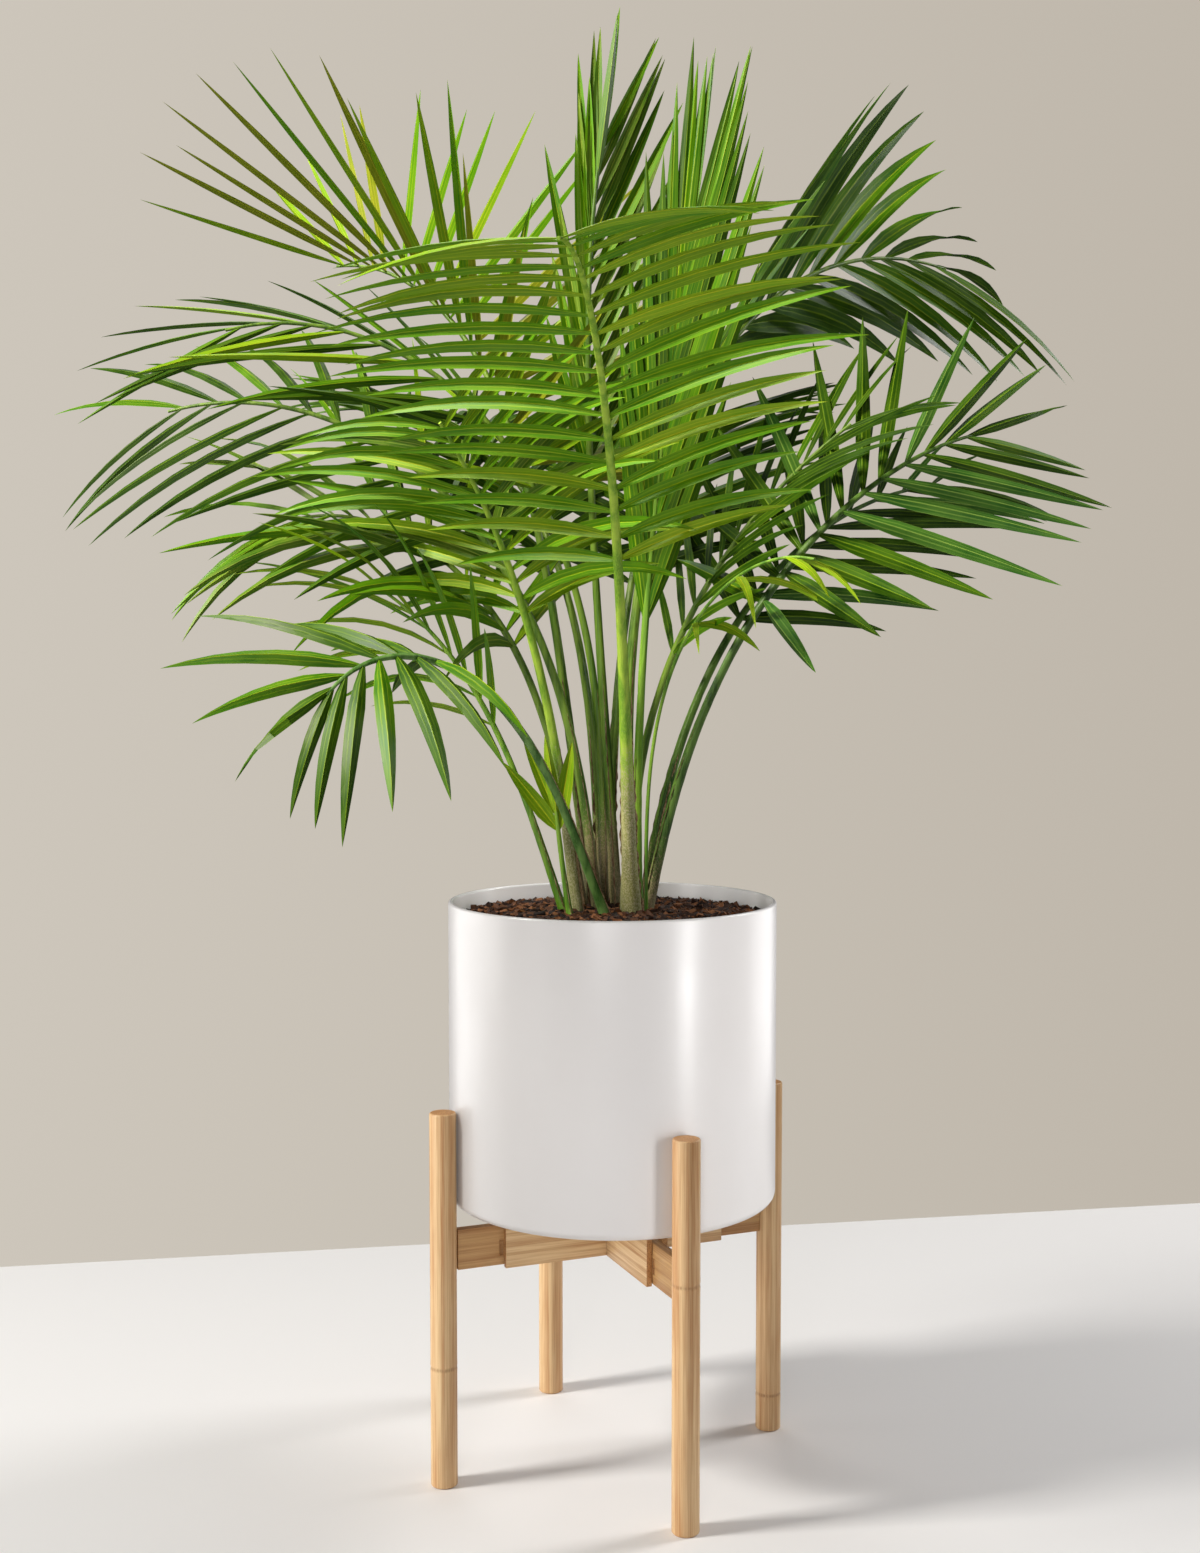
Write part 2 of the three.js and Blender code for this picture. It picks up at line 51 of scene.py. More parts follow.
camera.rotation_euler = (radians(86.9), 0, 0)
scene.collection.objects.link(camera)
scene.camera = camera
scene.view_settings.view_transform = "Standard"


# Floor: a plain off-white sheet that ends behind the pot, where the wall of the room would start.
# Nothing of it belongs to the part.
def colour(code, alpha=1.0):
    """A colour written as six hexadecimal digits, in the linear values that a shader takes."""
    parts = [int(code[k : k + 2], 16) / 255 for k in (0, 2, 4)]
    linear = [c / 12.92 if c <= 0.04045 else ((c + 0.055) / 1.055) ** 2.4 for c in parts]
    return (*linear, alpha)


def new_finish(name, **constants):
    """A material with a Principled BSDF that has these constants, and its node tree and shader."""
    material = bpy.data.materials.new(name)
    material.use_nodes = True
    shader = material.node_tree.nodes["Principled BSDF"]
    for socket, value in constants.items():
        shader.inputs[socket.replace("_", " ")].default_value = value
    return material, material.node_tree, shader


def new_object(name, mesh, materials):
    """A mesh's object in the scene, at the origin, with its materials in its slots."""
    piece = bpy.data.objects.new(name, mesh)
    scene.collection.objects.link(piece)
    for material in materials:
        mesh.materials.append(material)
    return piece


def new_piece(name, form, *materials):
    """An object of that name, made from a bmesh."""
    mesh = bpy.data.meshes.new(name)
    form.to_mesh(mesh)
    form.free()
    return new_object(name, mesh, materials)


FLOOR_TURN = radians(9.69)
FLOOR_EDGE = 0.573
FLOOR_WIDTH = 9.0
FLOOR_DEPTH = 6.0
form = bmesh.new()
bmesh.ops.create_grid(form, x_segments=2, y_segments=2, size=0.5)
bmesh.ops.scale(form, vec=(FLOOR_WIDTH, FLOOR_DEPTH, 1), verts=form.verts)
bmesh.ops.translate(form, vec=(0, FLOOR_EDGE - FLOOR_DEPTH / 2, 0), verts=form.verts)
bmesh.ops.rotate(form, matrix=Matrix.Rotation(FLOOR_TURN, 3, "Z"), verts=form.verts)
floor_finish, _, _ = new_finish("floor_paint", Base_Color=colour("F2EFED"), Roughness=0.7)
new_piece("floor", form, floor_finish)


# Light: a soft key high on the left, weaker lamps low on the left, in front, behind and to the right, and
# a pale room. Light linking keeps four more lamps to the pot, one to the stand and two to the plant.
def add_node(tree, kind, inputs=(), **settings):
    """A shader node with its settings, and each of its inputs set to a value or joined to a socket."""
    made = tree.nodes.new(kind)
    for name, value in settings.items():
        setattr(made, name, value)
    for name, value in dict(inputs).items():
        if isinstance(value, bpy.types.NodeSocket):
            tree.links.new(value, made.inputs[name])
        else:
            made.inputs[name].default_value = value
    return made


def blend_colour(tree, share, first, second):
    """The colour that lies that share of the way from the first to the second."""
    return add_node(tree, "ShaderNodeMix", {0: share, 6: first, 7: second}, data_type="RGBA").outputs[2]


def soft_light(name, place, target, size, power, tint="FFFFFF", lights_only=None):
    """An area light of that width and height, turned towards a point."""
    lamp = bpy.data.lights.new(name, "AREA")
    lamp.shape = "RECTANGLE"
    lamp.size, lamp.size_y = size
    lamp.energy = power
    lamp.color = colour(tint)[:3]
    held = bpy.data.objects.new(name, lamp)
    held.location = place
    held.rotation_euler = (Vector(target) - Vector(place)).to_track_quat("-Z", "Y").to_euler()
    held.light_linking.receiver_collection = lights_only
    scene.collection.objects.link(held)


pot_only = bpy.data.collections.new("pot_only")
plant_only = bpy.data.collections.new("plant_only")
stand_only = bpy.data.collections.new("stand_only")
soft_light("key_light", (-2.1, -0.6, 2.4), (0, 0, 0.6), (0.45, 0.45), 66, "FFFEFA")
soft_light("low_light", (-1.7, 0, 0.4), (0, 0, 0.3), (0.5, 0.6), 3, "FFFEFC")
soft_light("front_light", (-0.3, -2.6, 0.85), (0, 0, 0.45), (0.6, 0.6), 11)
soft_light("right_light", (2.4, 0.9, 2.0), (1.2, 0, 0), (0.8, 0.8), 49)
soft_light("back_light", (-0.4, 1.3, 2.4), (0, 0, 0.8), (1.0, 1.0), 8)
soft_light("pot_front", (-0.3, -2.6, 0.85), (0, 0, 0.4), (0.6, 0.6), 16, lights_only=pot_only)
soft_light("pot_left", (-1.6, 0.8, 0.4), (0, 0, 0.3), (1.2, 1.2), 15, lights_only=pot_only)
soft_light("pot_right", (1.3, 0.9, 0.4), (0, 0, 0.3), (1.0, 0.9), 7, lights_only=pot_only)
soft_light("pot_strip", (1.25, -1.05, 0.4), (0, 0, 0.3), (0.25, 0.9), 16, lights_only=pot_only)
soft_light("stand_left", (-1.8, -0.6, 0.5), (0, 0, 0.2), (0.3, 0.5), 14, lights_only=stand_only)
soft_light("leaf_sun", (-1.5, -1.3, 2.6), (0, 0, 0.9), (0.5, 0.5), 155, "FFF6DC", lights_only=plant_only)
soft_light("leaf_fill", (-1.2, -2.2, 0.5), (0, 0, 0.9), (1.2, 1.2), 9, "FFF8E4", lights_only=plant_only)

# The wall behind darkens a little from the left edge of the camera's view to the right one, as painted shade
# where the room's light falls off.
VIEW_EDGE = 0.32
room = bpy.data.worlds.new("room")
scene.world = room
room.use_nodes = True
tree = room.node_tree
tree.nodes.clear()
heading = add_node(tree, "ShaderNodeTexCoord").outputs["Generated"]
across = add_node(tree, "ShaderNodeSeparateXYZ", {0: heading}).outputs["X"]
seen_width = {"Value": across, "From Min": -VIEW_EDGE, "From Max": VIEW_EDGE}
to_right = add_node(tree, "ShaderNodeMapRange", seen_width).outputs["Result"]
wall_tint = blend_colour(tree, to_right, colour("CDC6BB"), colour("BFB7AB"))
wall = add_node(tree, "ShaderNodeBackground", {"Color": wall_tint, "Strength": 1.0})
ambient = add_node(tree, "ShaderNodeBackground", {"Color": colour("F2F2F2"), "Strength": 0.08})
seen = add_node(tree, "ShaderNodeLightPath").outputs["Is Camera Ray"]
both = add_node(tree, "ShaderNodeMixShader", {0: seen, 1: ambient.outputs[0], 2: wall.outputs[0]})
add_node(tree, "ShaderNodeOutputWorld", {"Surface": both.outputs[0]})


# Legs of the stand: four turned bamboo poles with eased ends, standing on the floor.
# The bamboo has fine fibres along it and a faint darker ring at each joint of the cane.
def new_group(name, inputs):
    """A shader node group with these inputs that gives out a colour, a roughness and a height."""
    made = bpy.data.node_groups.new(name, "ShaderNodeTree")
    outputs = {"Color": "Color", "Roughness": "Float", "Height": "Float"}
    for side, sockets in (("INPUT", inputs), ("OUTPUT", outputs)):
        for socket, kind in sockets.items():
            made.interface.new_socket(socket, in_out=side, socket_type="NodeSocket" + kind)
    return made, made.nodes.new("NodeGroupInput").outputs


def give_out(group, *values):
    """Joins the colour, the roughness and the height to the group's outputs."""
    outputs = group.nodes.new("NodeGroupOutput").inputs
    for name, value in zip(("Color", "Roughness", "Height"), values):
        group.links.new(value, outputs[name])


def object_place(tree):
    return add_node(tree, "ShaderNodeTexCoord").outputs["Object"]


def stretched_noise(tree, place, sizes, detail=2.0):
    """Noise whose blotches have about these sizes in metres along X, Y and Z."""
    shares = [1 / size for size in sizes]
    scaled = add_node(tree, "ShaderNodeVectorMath", {0: place, 1: shares}, operation="MULTIPLY").outputs[0]
    return add_node(tree, "ShaderNodeTexNoise", {"Vector": scaled, "Scale": 1.0, "Detail": detail}).outputs[0]


def maths(tree, operation, *values):
    return add_node(tree, "ShaderNodeMath", dict(enumerate(values)), operation=operation).outputs[0]


def ramp(tree, value, low, high, start=0, end=1):
    """The value's way from low to high, as a smooth share from start to end."""
    inputs = {"Value": value, "From Min": low, "From Max": high, "To Min": start, "To Max": end}
    return add_node(tree, "ShaderNodeMapRange", inputs, interpolation_type="SMOOTHSTEP").outputs["Result"]


def join_surface(tree, shader, tint, height, strength, depth, roughness=None):
    """Joins a colour, a relief of that strength and depth and, where it varies, a roughness to a shader."""
    tree.links.new(tint, shader.inputs["Base Color"])
    if roughness is not None:
        tree.links.new(roughness, shader.inputs["Roughness"])
    bump = add_node(tree, "ShaderNodeBump", {"Height": height, "Strength": strength, "Distance": depth})
    tree.links.new(bump.outputs[0], shader.inputs["Normal"])


grain_inputs = {"Place": "Vector", "Pale": "Color", "Deep": "Color", "Ring": "Float"}
bamboo_grain, given = new_group("bamboo_grain", grain_inputs)
tree = bamboo_grain
fibre_share = ramp(tree, stretched_noise(tree, given["Place"], (0.0007, 0.0007, 0.05), 3.0), 0.38, 0.66)
strip_share = ramp(tree, stretched_noise(tree, given["Place"], (0.004, 0.004, 0.35), 1.0), 0.36, 0.64)
cloud_share = ramp(tree, stretched_noise(tree, given["Place"], (0.03, 0.03, 0.09), 2.0), 0.35, 0.7)
mixed = maths(tree, "MULTIPLY_ADD", fibre_share, 0.34, maths(tree, "MULTIPLY", strip_share, 0.42))
mixed = maths(tree, "MULTIPLY_ADD", cloud_share, 0.2, mixed)
along = add_node(tree, "ShaderNodeSeparateXYZ", {0: given["Place"]}).outputs["Z"]
from_ring = maths(tree, "ABSOLUTE", maths(tree, "SUBTRACT", along, given["Ring"]))
wobble = stretched_noise(tree, given["Place"], (0.004, 0.004, 0.004))
from_ring = maths(tree, "MULTIPLY_ADD", wobble, 0.0022, from_ring)
ring_share = ramp(tree, from_ring, 0.0012, 0.0034, 1, 0)
grain_colour = blend_colour(tree, mixed, given["Pale"], given["Deep"])
ring_colour = blend_colour(tree, 0.55, given["Deep"], colour("6E4A2A"))
ring_mask = maths(tree, "MULTIPLY", ring_share, maths(tree, "MULTIPLY_ADD", fibre_share, 0.45, 0.25))
give_out(
    tree,
    blend_colour(tree, ring_mask, grain_colour, ring_colour),
    maths(tree, "MULTIPLY_ADD", fibre_share, 0.14, 0.36),
    maths(tree, "MULTIPLY_ADD", ring_share, -0.6, fibre_share),
)

BAMBOO_PALE = colour("E8C898")
BAMBOO_DEEP = colour("B57C48")
UNSEEN_RING = -9.0


def bamboo(name, turn=(0, 0, 0), shift=(0, 0, 0), ring=UNSEEN_RING, pale=BAMBOO_PALE, deep=BAMBOO_DEEP):
    """Lacquered bamboo whose fibres run along Z after the turn."""
    material, tree, shader = new_finish(name, Specular_IOR_Level=0.45)
    turned = {"Vector": object_place(tree), "Location": shift, "Rotation": turn}
    place = add_node(tree, "ShaderNodeMapping", turned).outputs[0]
    own = {"Place": place, "Pale": pale, "Deep": deep, "Ring": ring}
    grain = add_node(tree, "ShaderNodeGroup", own, node_tree=bamboo_grain).outputs
    join_surface(tree, shader, grain["Color"], grain["Height"], 0.5, 0.00012, grain["Roughness"])
    return material


def bamboo_end(name):
    """Sawn bamboo across its fibres: small dark bundle ends in a browner ground."""
    material, tree, shader = new_finish(name, Roughness=0.6)
    place = object_place(tree)
    dots = add_node(tree, "ShaderNodeTexVoronoi", {"Vector": place, "Scale": 900.0})
    dot_share = ramp(tree, dots.outputs["Distance"], 0.2, 0.45)
    blotch = stretched_noise(tree, place, (0.008, 0.008, 0.008))
    ground = blend_colour(tree, blotch, colour("C99A63"), colour("AD7746"))
    tint = blend_colour(tree, dot_share, colour("8A5A33"), ground)
    join_surface(tree, shader, tint, dot_share, 0.4, 0.0002)
    return material


def arc(centre, radius, start, end, steps):
    """Points of an arc in a turned profile, as (radius, height), from start to end in degrees."""
    turns = [radians(start + (end - start) * k / steps) for k in range(steps + 1)]
    return [(centre[0] + radius * cos(turn), centre[1] + radius * sin(turn)) for turn in turns]


def close_form(form):
    """Merges a shell's double points and turns its faces outwards."""
    bmesh.ops.remove_doubles(form, verts=form.verts, dist=1e-6)
    bmesh.ops.recalc_face_normals(form, faces=form.faces)


def turned_form(profile, steps):
    """A profile of (radius, height) points, from the axis round to the axis, spun about Z and closed."""
    form = bmesh.new()
    rows = [form.verts.new((radius, 0, height)) for radius, height in profile]
    edges = [form.edges.new(pair) for pair in zip(rows, rows[1:])]
    bmesh.ops.spin(
        form, geom=rows + edges, axis=(0, 0, 1), cent=(0, 0, 0), angle=2 * pi, steps=steps, use_merge=True
    )
    close_form(form)
    return form


def mark_sawn(form, axis):
    """Gives the second material to the faces that look along an axis, where the bamboo is sawn."""
    for face in form.faces:
        face.material_index = int(abs(face.normal[axis]) > FACING)


def shade(piece, sharpest=35):
    """Smooth shading, broken where faces meet at more than this angle."""
    piece.data.shade_smooth()
    piece.data.set_sharp_from_angle(angle=radians(sharpest))
    return piece


LEG_RADIUS = 0.0106
LEG_HEIGHT = 0.2986
LEG_ROUNDING = 0.0015
LEG_CIRCLE = 0.144
LEG_SIDES = 40
STAND_TURN = 22.05
RING_SWELL = 0.00012
RING_GROOVE = 0.0006
RING_SHOULDER = 0.0022
RING_REACH = 0.006
FACING = 0.9
X_AXIS = 0
Z_AXIS = 2
LEGS = {
    "right": {"turn": STAND_TURN, "ring": 0.031},
    "left": {"turn": STAND_TURN + 180, "ring": 0.0956},
    "front": {"turn": STAND_TURN - 90, "ring": 0.189},
    "back": {"turn": STAND_TURN + 90, "ring": 0.135},
}
sawn_bamboo = bamboo_end("sawn_bamboo")

for side, leg in LEGS.items():
    inner = LEG_RADIUS - LEG_ROUNDING
    ring = leg["ring"]
    shoulder = [(RING_REACH, 0), (RING_SHOULDER, RING_SWELL), (RING_GROOVE, -RING_SWELL)]
    profile = [(0, 0), *arc((inner, LEG_ROUNDING), LEG_ROUNDING, -90, 0, 5)]
    profile += [(LEG_RADIUS + swell, ring - drop) for drop, swell in shoulder]
    profile += [(LEG_RADIUS + swell, ring + drop) for drop, swell in reversed(shoulder)]
    profile += [*arc((inner, LEG_HEIGHT - LEG_ROUNDING), LEG_ROUNDING, 0, 90, 5), (0, LEG_HEIGHT)]
    form = turned_form(profile, LEG_SIDES)
    turn = radians(leg["turn"])
    bmesh.ops.translate(form, vec=(LEG_CIRCLE * cos(turn), LEG_CIRCLE * sin(turn), 0), verts=form.verts)
    mark_sawn(form, Z_AXIS)
    cane = bamboo("bamboo_leg_" + side, shift=(leg["turn"], 0, 0), ring=ring)
    piece = shade(new_piece("bamboo_leg_" + side, form, cane, sawn_bamboo))
    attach(piece, "root")
    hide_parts("leg_" + side)
    stand_only.objects.link(piece)


# Crossed beams: two laminated bamboo sleeves halved into each other under the pot.
# Each end is slotted for the slat that slides out to a leg.
BEAM_HALF_THICKNESS = 0.009
BEAM_BOTTOM = 0.1705
BEAM_TOP = 0.2075
SLOT_HALF_WIDTH = 0.0043
SLOT_DEPTH = 0.058
JOINT_GAP = 0.0003
EDGE_EASE = 0.0006
EDGE_ANGLE = 30
FLAT_ANGLE = 1
SLEEVE_DEEP = colour("B07A48")
BEAMS = {
    "left_right": {"turn": STAND_TURN, "half_length": 0.095, "lap": "top"},
    "front_back": {"turn": STAND_TURN - 90, "half_length": 0.091, "lap": "bottom"},
}


def verts_of(geom):
    return [item for item in geom if isinstance(item, bmesh.types.BMVert)]


def level_grain(turn):
    """The angles for a Mapping node that lays the grain along a level board, turned so far about Z."""
    return (radians(90), turn - radians(90), 0)


def ease_edges(form, width):
    """A small rounding on every edge where faces meet at an angle."""
    bmesh.ops.dissolve_limit(form, angle_limit=radians(FLAT_ANGLE), verts=form.verts, edges=form.edges)
    meeting = [edge for edge in form.edges if edge.is_manifold]
    sharp = [edge for edge in meeting if edge.calc_face_angle() > radians(EDGE_ANGLE)]
    bmesh.ops.bevel(form, geom=sharp, offset=width, affect="EDGES", segments=2, profile=0.5, material=-1)


for name, beam in BEAMS.items():
    half = beam["half_length"]
    lap = BEAM_HALF_THICKNESS + JOINT_GAP
    slot = half - SLOT_DEPTH
    columns = [-half, -slot, -lap, lap, slot, half]
    rows = [-BEAM_HALF_THICKNESS, -SLOT_HALF_WIDTH, SLOT_HALF_WIDTH, BEAM_HALF_THICKNESS]
    middle = (BEAM_BOTTOM + BEAM_TOP) / 2 - JOINT_GAP / 2
    form = bmesh.new()
    bmesh.ops.create_grid(form, x_segments=len(columns) - 1, y_segments=len(rows) - 1, size=1.0)
    for vert in form.verts:
        column = round((vert.co.x + 1) / 2 * (len(columns) - 1))
        row = round((vert.co.y + 1) / 2 * (len(rows) - 1))
        vert.co = (columns[column], rows[row], BEAM_BOTTOM)
    centres = {face: face.calc_center_median() for face in form.faces}
    slots = [face for face, at in centres.items() if abs(at.y) < SLOT_HALF_WIDTH and abs(at.x) > slot]
    bmesh.ops.delete(form, geom=slots, context="FACES")
    lower = bmesh.ops.extrude_face_region(form, geom=list(form.faces))["geom"]
    bmesh.ops.translate(form, vec=(0, 0, middle - BEAM_BOTTOM), verts=verts_of(lower))
    tops = [item for item in lower if isinstance(item, bmesh.types.BMFace)]
    tops = [face for face in tops if abs(face.calc_center_median().x) > lap]
    upper = bmesh.ops.extrude_face_region(form, geom=tops)["geom"]
    bmesh.ops.delete(form, geom=tops, context="FACES_ONLY")
    bmesh.ops.translate(form, vec=(0, 0, BEAM_TOP - middle), verts=verts_of(upper))
    if beam["lap"] == "bottom":
        bmesh.ops.scale(form, vec=(1, 1, -1), verts=form.verts)
        bmesh.ops.translate(form, vec=(0, 0, BEAM_BOTTOM + BEAM_TOP), verts=form.verts)
    close_form(form)
    ease_edges(form, EDGE_EASE)
    mark_sawn(form, X_AXIS)
    turn = radians(beam["turn"])
    bmesh.ops.rotate(form, matrix=Matrix.Rotation(turn, 3, "Z"), verts=form.verts)
    sleeve = bamboo("bamboo_sleeve_" + name, level_grain(turn), deep=SLEEVE_DEEP)
    piece = shade(new_piece("beam_sleeve_" + name, form, sleeve, sawn_bamboo))
    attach(piece, "root")
    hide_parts("beam_" + name)
    stand_only.objects.link(piece)


# Slats: thinner bamboo boards that run from inside the sleeves to the legs.
# A notch is cut in each face just outside the sleeve, where the slat locks at this length.
SLAT_HALF_THICKNESS = 0.004
SLAT_BOTTOM = 0.1725
SLAT_TOP = 0.2045
NOTCH_WIDTH = 0.0035
NOTCH_DEPTH = 0.002
NOTCH_BOTTOM = 0.18
NOTCH_TOP = 0.193
SLAT_PALE = colour("CFA56E")
SLAT_DEEP = colour("9E6A3C")
SLAT_BEAMS = {"right": "left_right", "left": "left_right", "front": "front_back", "back": "front_back"}

for side, beam_name in SLAT_BEAMS.items():
    half = BEAMS[beam_name]["half_length"]
    inner = half - SLOT_DEPTH + JOINT_GAP
    outer = LEG_CIRCLE - LEG_RADIUS - JOINT_GAP
    form = bmesh.new()
    bmesh.ops.create_cube(form, size=1.0)
    size = (outer - inner, 2 * SLAT_HALF_THICKNESS, SLAT_TOP - SLAT_BOTTOM)
    bmesh.ops.scale(form, vec=size, verts=form.verts)
    bmesh.ops.translate(form, vec=((outer + inner) / 2, 0, (SLAT_TOP + SLAT_BOTTOM) / 2), verts=form.verts)
    cuts = [((half, 0, 0), (1, 0, 0)), ((half + NOTCH_WIDTH, 0, 0), (1, 0, 0))]
    cuts += [((0, 0, NOTCH_BOTTOM), (0, 0, 1)), ((0, 0, NOTCH_TOP), (0, 0, 1))]
    for point, way in cuts:
        everything = form.verts[:] + form.edges[:] + form.faces[:]
        bmesh.ops.bisect_plane(form, geom=everything, plane_co=point, plane_no=way, dist=1e-7)
    form.normal_update()
    for face in [face for face in form.faces if abs(face.normal.y) > FACING]:
        middle = face.calc_center_median()
        if half < middle.x < half + NOTCH_WIDTH and NOTCH_BOTTOM < middle.z < NOTCH_TOP:
            inwards = face.normal * -NOTCH_DEPTH
            sunk = bmesh.ops.extrude_face_region(form, geom=[face])["geom"]
            bmesh.ops.delete(form, geom=[face], context="FACES_ONLY")
            bmesh.ops.translate(form, vec=inwards, verts=verts_of(sunk))
    ease_edges(form, EDGE_EASE / 2)
    mark_sawn(form, X_AXIS)
    turn = radians(LEGS[side]["turn"])
    bmesh.ops.rotate(form, matrix=Matrix.Rotation(turn, 3, "Z"), verts=form.verts)
    board = bamboo("bamboo_slat_" + side, level_grain(turn), (turn, 0, 0), pale=SLAT_PALE, deep=SLAT_DEEP)
    piece = shade(new_piece("bamboo_slat_" + side, form, board, sawn_bamboo))
    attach(piece, "root")
    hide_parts("slat_" + side)
    stand_only.objects.link(piece)


# Pot: a straight white cylinder in a satin glaze, with a rolled lip and a rounded bottom edge.
# It is cast in one piece, and its recessed foot stands on the crossed beams.
POT_RADIUS = 0.1325
POT_RIM = 0.46
POT_WALL = 0.004
POT_BOTTOM = 0.2195
POT_FILLET = 0.0065
POT_WALL_ROWS = (0.3, 0.38)
POT_SIDES = 160
POT_FOOT_RADIUS = 0.077
POT_FOOT_ROUNDING = 0.0015
POT_FOOT_BOTTOM = BEAM_TOP + JOINT_GAP
POT_FLOOR = 0.226
POT_FLOOR_ROUNDING = 0.008

lip = POT_WALL / 2
inner_wall = POT_RADIUS - POT_WALL
foot_middle = (POT_FOOT_RADIUS - POT_FOOT_ROUNDING, POT_FOOT_BOTTOM + POT_FOOT_ROUNDING)
profile = [(0, POT_FOOT_BOTTOM), *arc(foot_middle, POT_FOOT_ROUNDING, -90, 0, 4)]
profile += [(POT_FOOT_RADIUS, POT_BOTTOM)]
profile += arc((POT_RADIUS - POT_FILLET, POT_BOTTOM + POT_FILLET), POT_FILLET, -90, 0, 10)
profile += [(POT_RADIUS, height) for height in POT_WALL_ROWS]
profile += arc((POT_RADIUS - lip, POT_RIM - lip), lip, 0, 180, 12)
floor_middle = (inner_wall - POT_FLOOR_ROUNDING, POT_FLOOR + POT_FLOOR_ROUNDING)
profile += arc(floor_middle, POT_FLOOR_ROUNDING, 0, -90, 6) + [(0, POT_FLOOR)]
form = turned_form(profile, POT_SIDES)


def satin_glaze(name, pale, deep):
    """A white glaze with a faint blush, fine flecks and the slight ripple of a dipped coat."""
    glaze, tree, shader = new_finish(name, Coat_Weight=0.2, Coat_Roughness=0.22)
    place = object_place(tree)
    blush = stretched_noise(tree, place, (0.08, 0.08, 0.11), 3.0)
    speckle = stretched_noise(tree, place, (0.0011, 0.0011, 0.0011))
    ground = blend_colour(tree, blush, colour(pale), colour(deep))
    fleck_share = ramp(tree, speckle, 0.68, 0.78, 0, 0.25)
    tint = blend_colour(tree, fleck_share, ground, colour("B4AEA8"))
    ripple = stretched_noise(tree, place, (0.05, 0.05, 0.02))
    orange_peel = stretched_noise(tree, place, (0.003, 0.003, 0.003), 1.0)
    surface = maths(tree, "MULTIPLY_ADD", orange_peel, 0.04, ripple)
    join_surface(tree, shader, tint, surface, 0.35, 0.0006, ramp(tree, blush, 0.3, 0.7, 0.3, 0.4))
    return glaze


# The inside's glaze starts on the lip, a little inwards of its top.
inside_from = POT_RADIUS - 0.6 * POT_WALL
for face in form.faces:
    middle = face.calc_center_median()
    over_floor = middle.z > POT_FLOOR - POT_WALL / 4
    face.material_index = int(over_floor and middle.to_2d().length < inside_from)
# The inside's glaze is the outside's painted much paler, as painted light on the inner wall where the crown
# shades it.
glazes = satin_glaze("glaze_outside", "C4C1C0", "BBB7B5"), satin_glaze("glaze_inside_painted_light", "FFFCFA", "F8F4F2")
piece = shade(new_piece("glazed_pot", form, *glazes), sharpest=30)
pot_only.objects.link(piece)
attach(piece, "root")
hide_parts("pot")


# Soil: a low mound of damp dark compost that fills the pot to a finger below its lip.
# Its top is covered with fine bark chips in several browns, each one a chipped splinter.
SOIL_BOTTOM = POT_FLOOR + JOINT_GAP
SOIL_RADIUS = 0.1276
SOIL_EDGE = 0.4435
SOIL_LEVEL = 0.4475
SOIL_ROUGHNESS = 0.0022
SOIL_LUMPS = 90
SOIL_CLEAR = 0.002
SOIL_ROUNDS = 14
SOIL_SIDES = 64
CHIP_COUNT = 5200
CHIP_SEED = 17
CHIP_LENGTH = (0.003, 0.0095)
CHIP_BREADTH = (0.3, 0.6)
CHIP_THICKNESS = (0.15, 0.35)
CHIP_RAGGED = 0.5
CHIP_TIPPED = 0.35
CHIP_HEIGHT = (0.0002, 0.003)
CHIP_MARGIN = 0.004
CHIP_DARK = 0.45
CHIP_BROWNS = {"4A2E1F": 0.36, "74482C": 0.3, "A4683C": 0.22, "2A1A12": 0.12}


def soil_height(share):
    """How high the mound is at that share of its radius."""
    return SOIL_LEVEL - (SOIL_LEVEL - SOIL_EDGE) * share ** 3


rounds = [k / SOIL_ROUNDS for k in range(SOIL_ROUNDS - 1, -1, -1)]
profile = [(0, SOIL_BOTTOM), (SOIL_RADIUS, SOIL_BOTTOM), (SOIL_RADIUS, SOIL_EDGE)]
profile += [(SOIL_RADIUS * share, soil_height(share)) for share in rounds]
form = turned_form(profile, SOIL_SIDES)
for vert in form.verts:
    if vert.co.z > SOIL_EDGE - SOIL_CLEAR / 2 and vert.co.to_2d().length < SOIL_RADIUS - SOIL_CLEAR:
        vert.co.z += SOIL_ROUGHNESS * noise.noise(vert.co * SOIL_LUMPS)

compost, tree, shader = new_finish("damp_compost", Roughness=0.92)
crumbs = stretched_noise(tree, object_place(tree), (0.004, 0.004, 0.004), 5.0)
join_surface(tree, shader, blend_colour(tree, crumbs, colour("1E130D"), colour("4A2E1E")), crumbs, 1.0, 0.002)
piece = shade(new_piece("compost", form, compost), sharpest=60)
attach(piece, "root")
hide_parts("soil")


def joined_mesh(name, verts, faces, kinds, materials):
    """One object out of arrays of points, of faces and of each face's material."""
    mesh = bpy.data.meshes.new(name)
    mesh.from_pydata(verts, [], faces)
    mesh.polygons.foreach_set("material_index", kinds)
    return new_object(name, mesh, materials)


def bark_finish(code):
    """Bark of one brown, streaked with its own dark."""
    material, tree, shader = new_finish("bark_" + code, Roughness=0.85)
    streaks = stretched_noise(tree, object_place(tree), (0.0012, 0.0012, 0.0012), 3.0)
    dark = [channel * CHIP_DARK for channel in colour(code)[:3]] + [1]
    join_surface(tree, shader, blend_colour(tree, streaks, dark, colour(code)), streaks, 0.8, 0.0006)
    return material


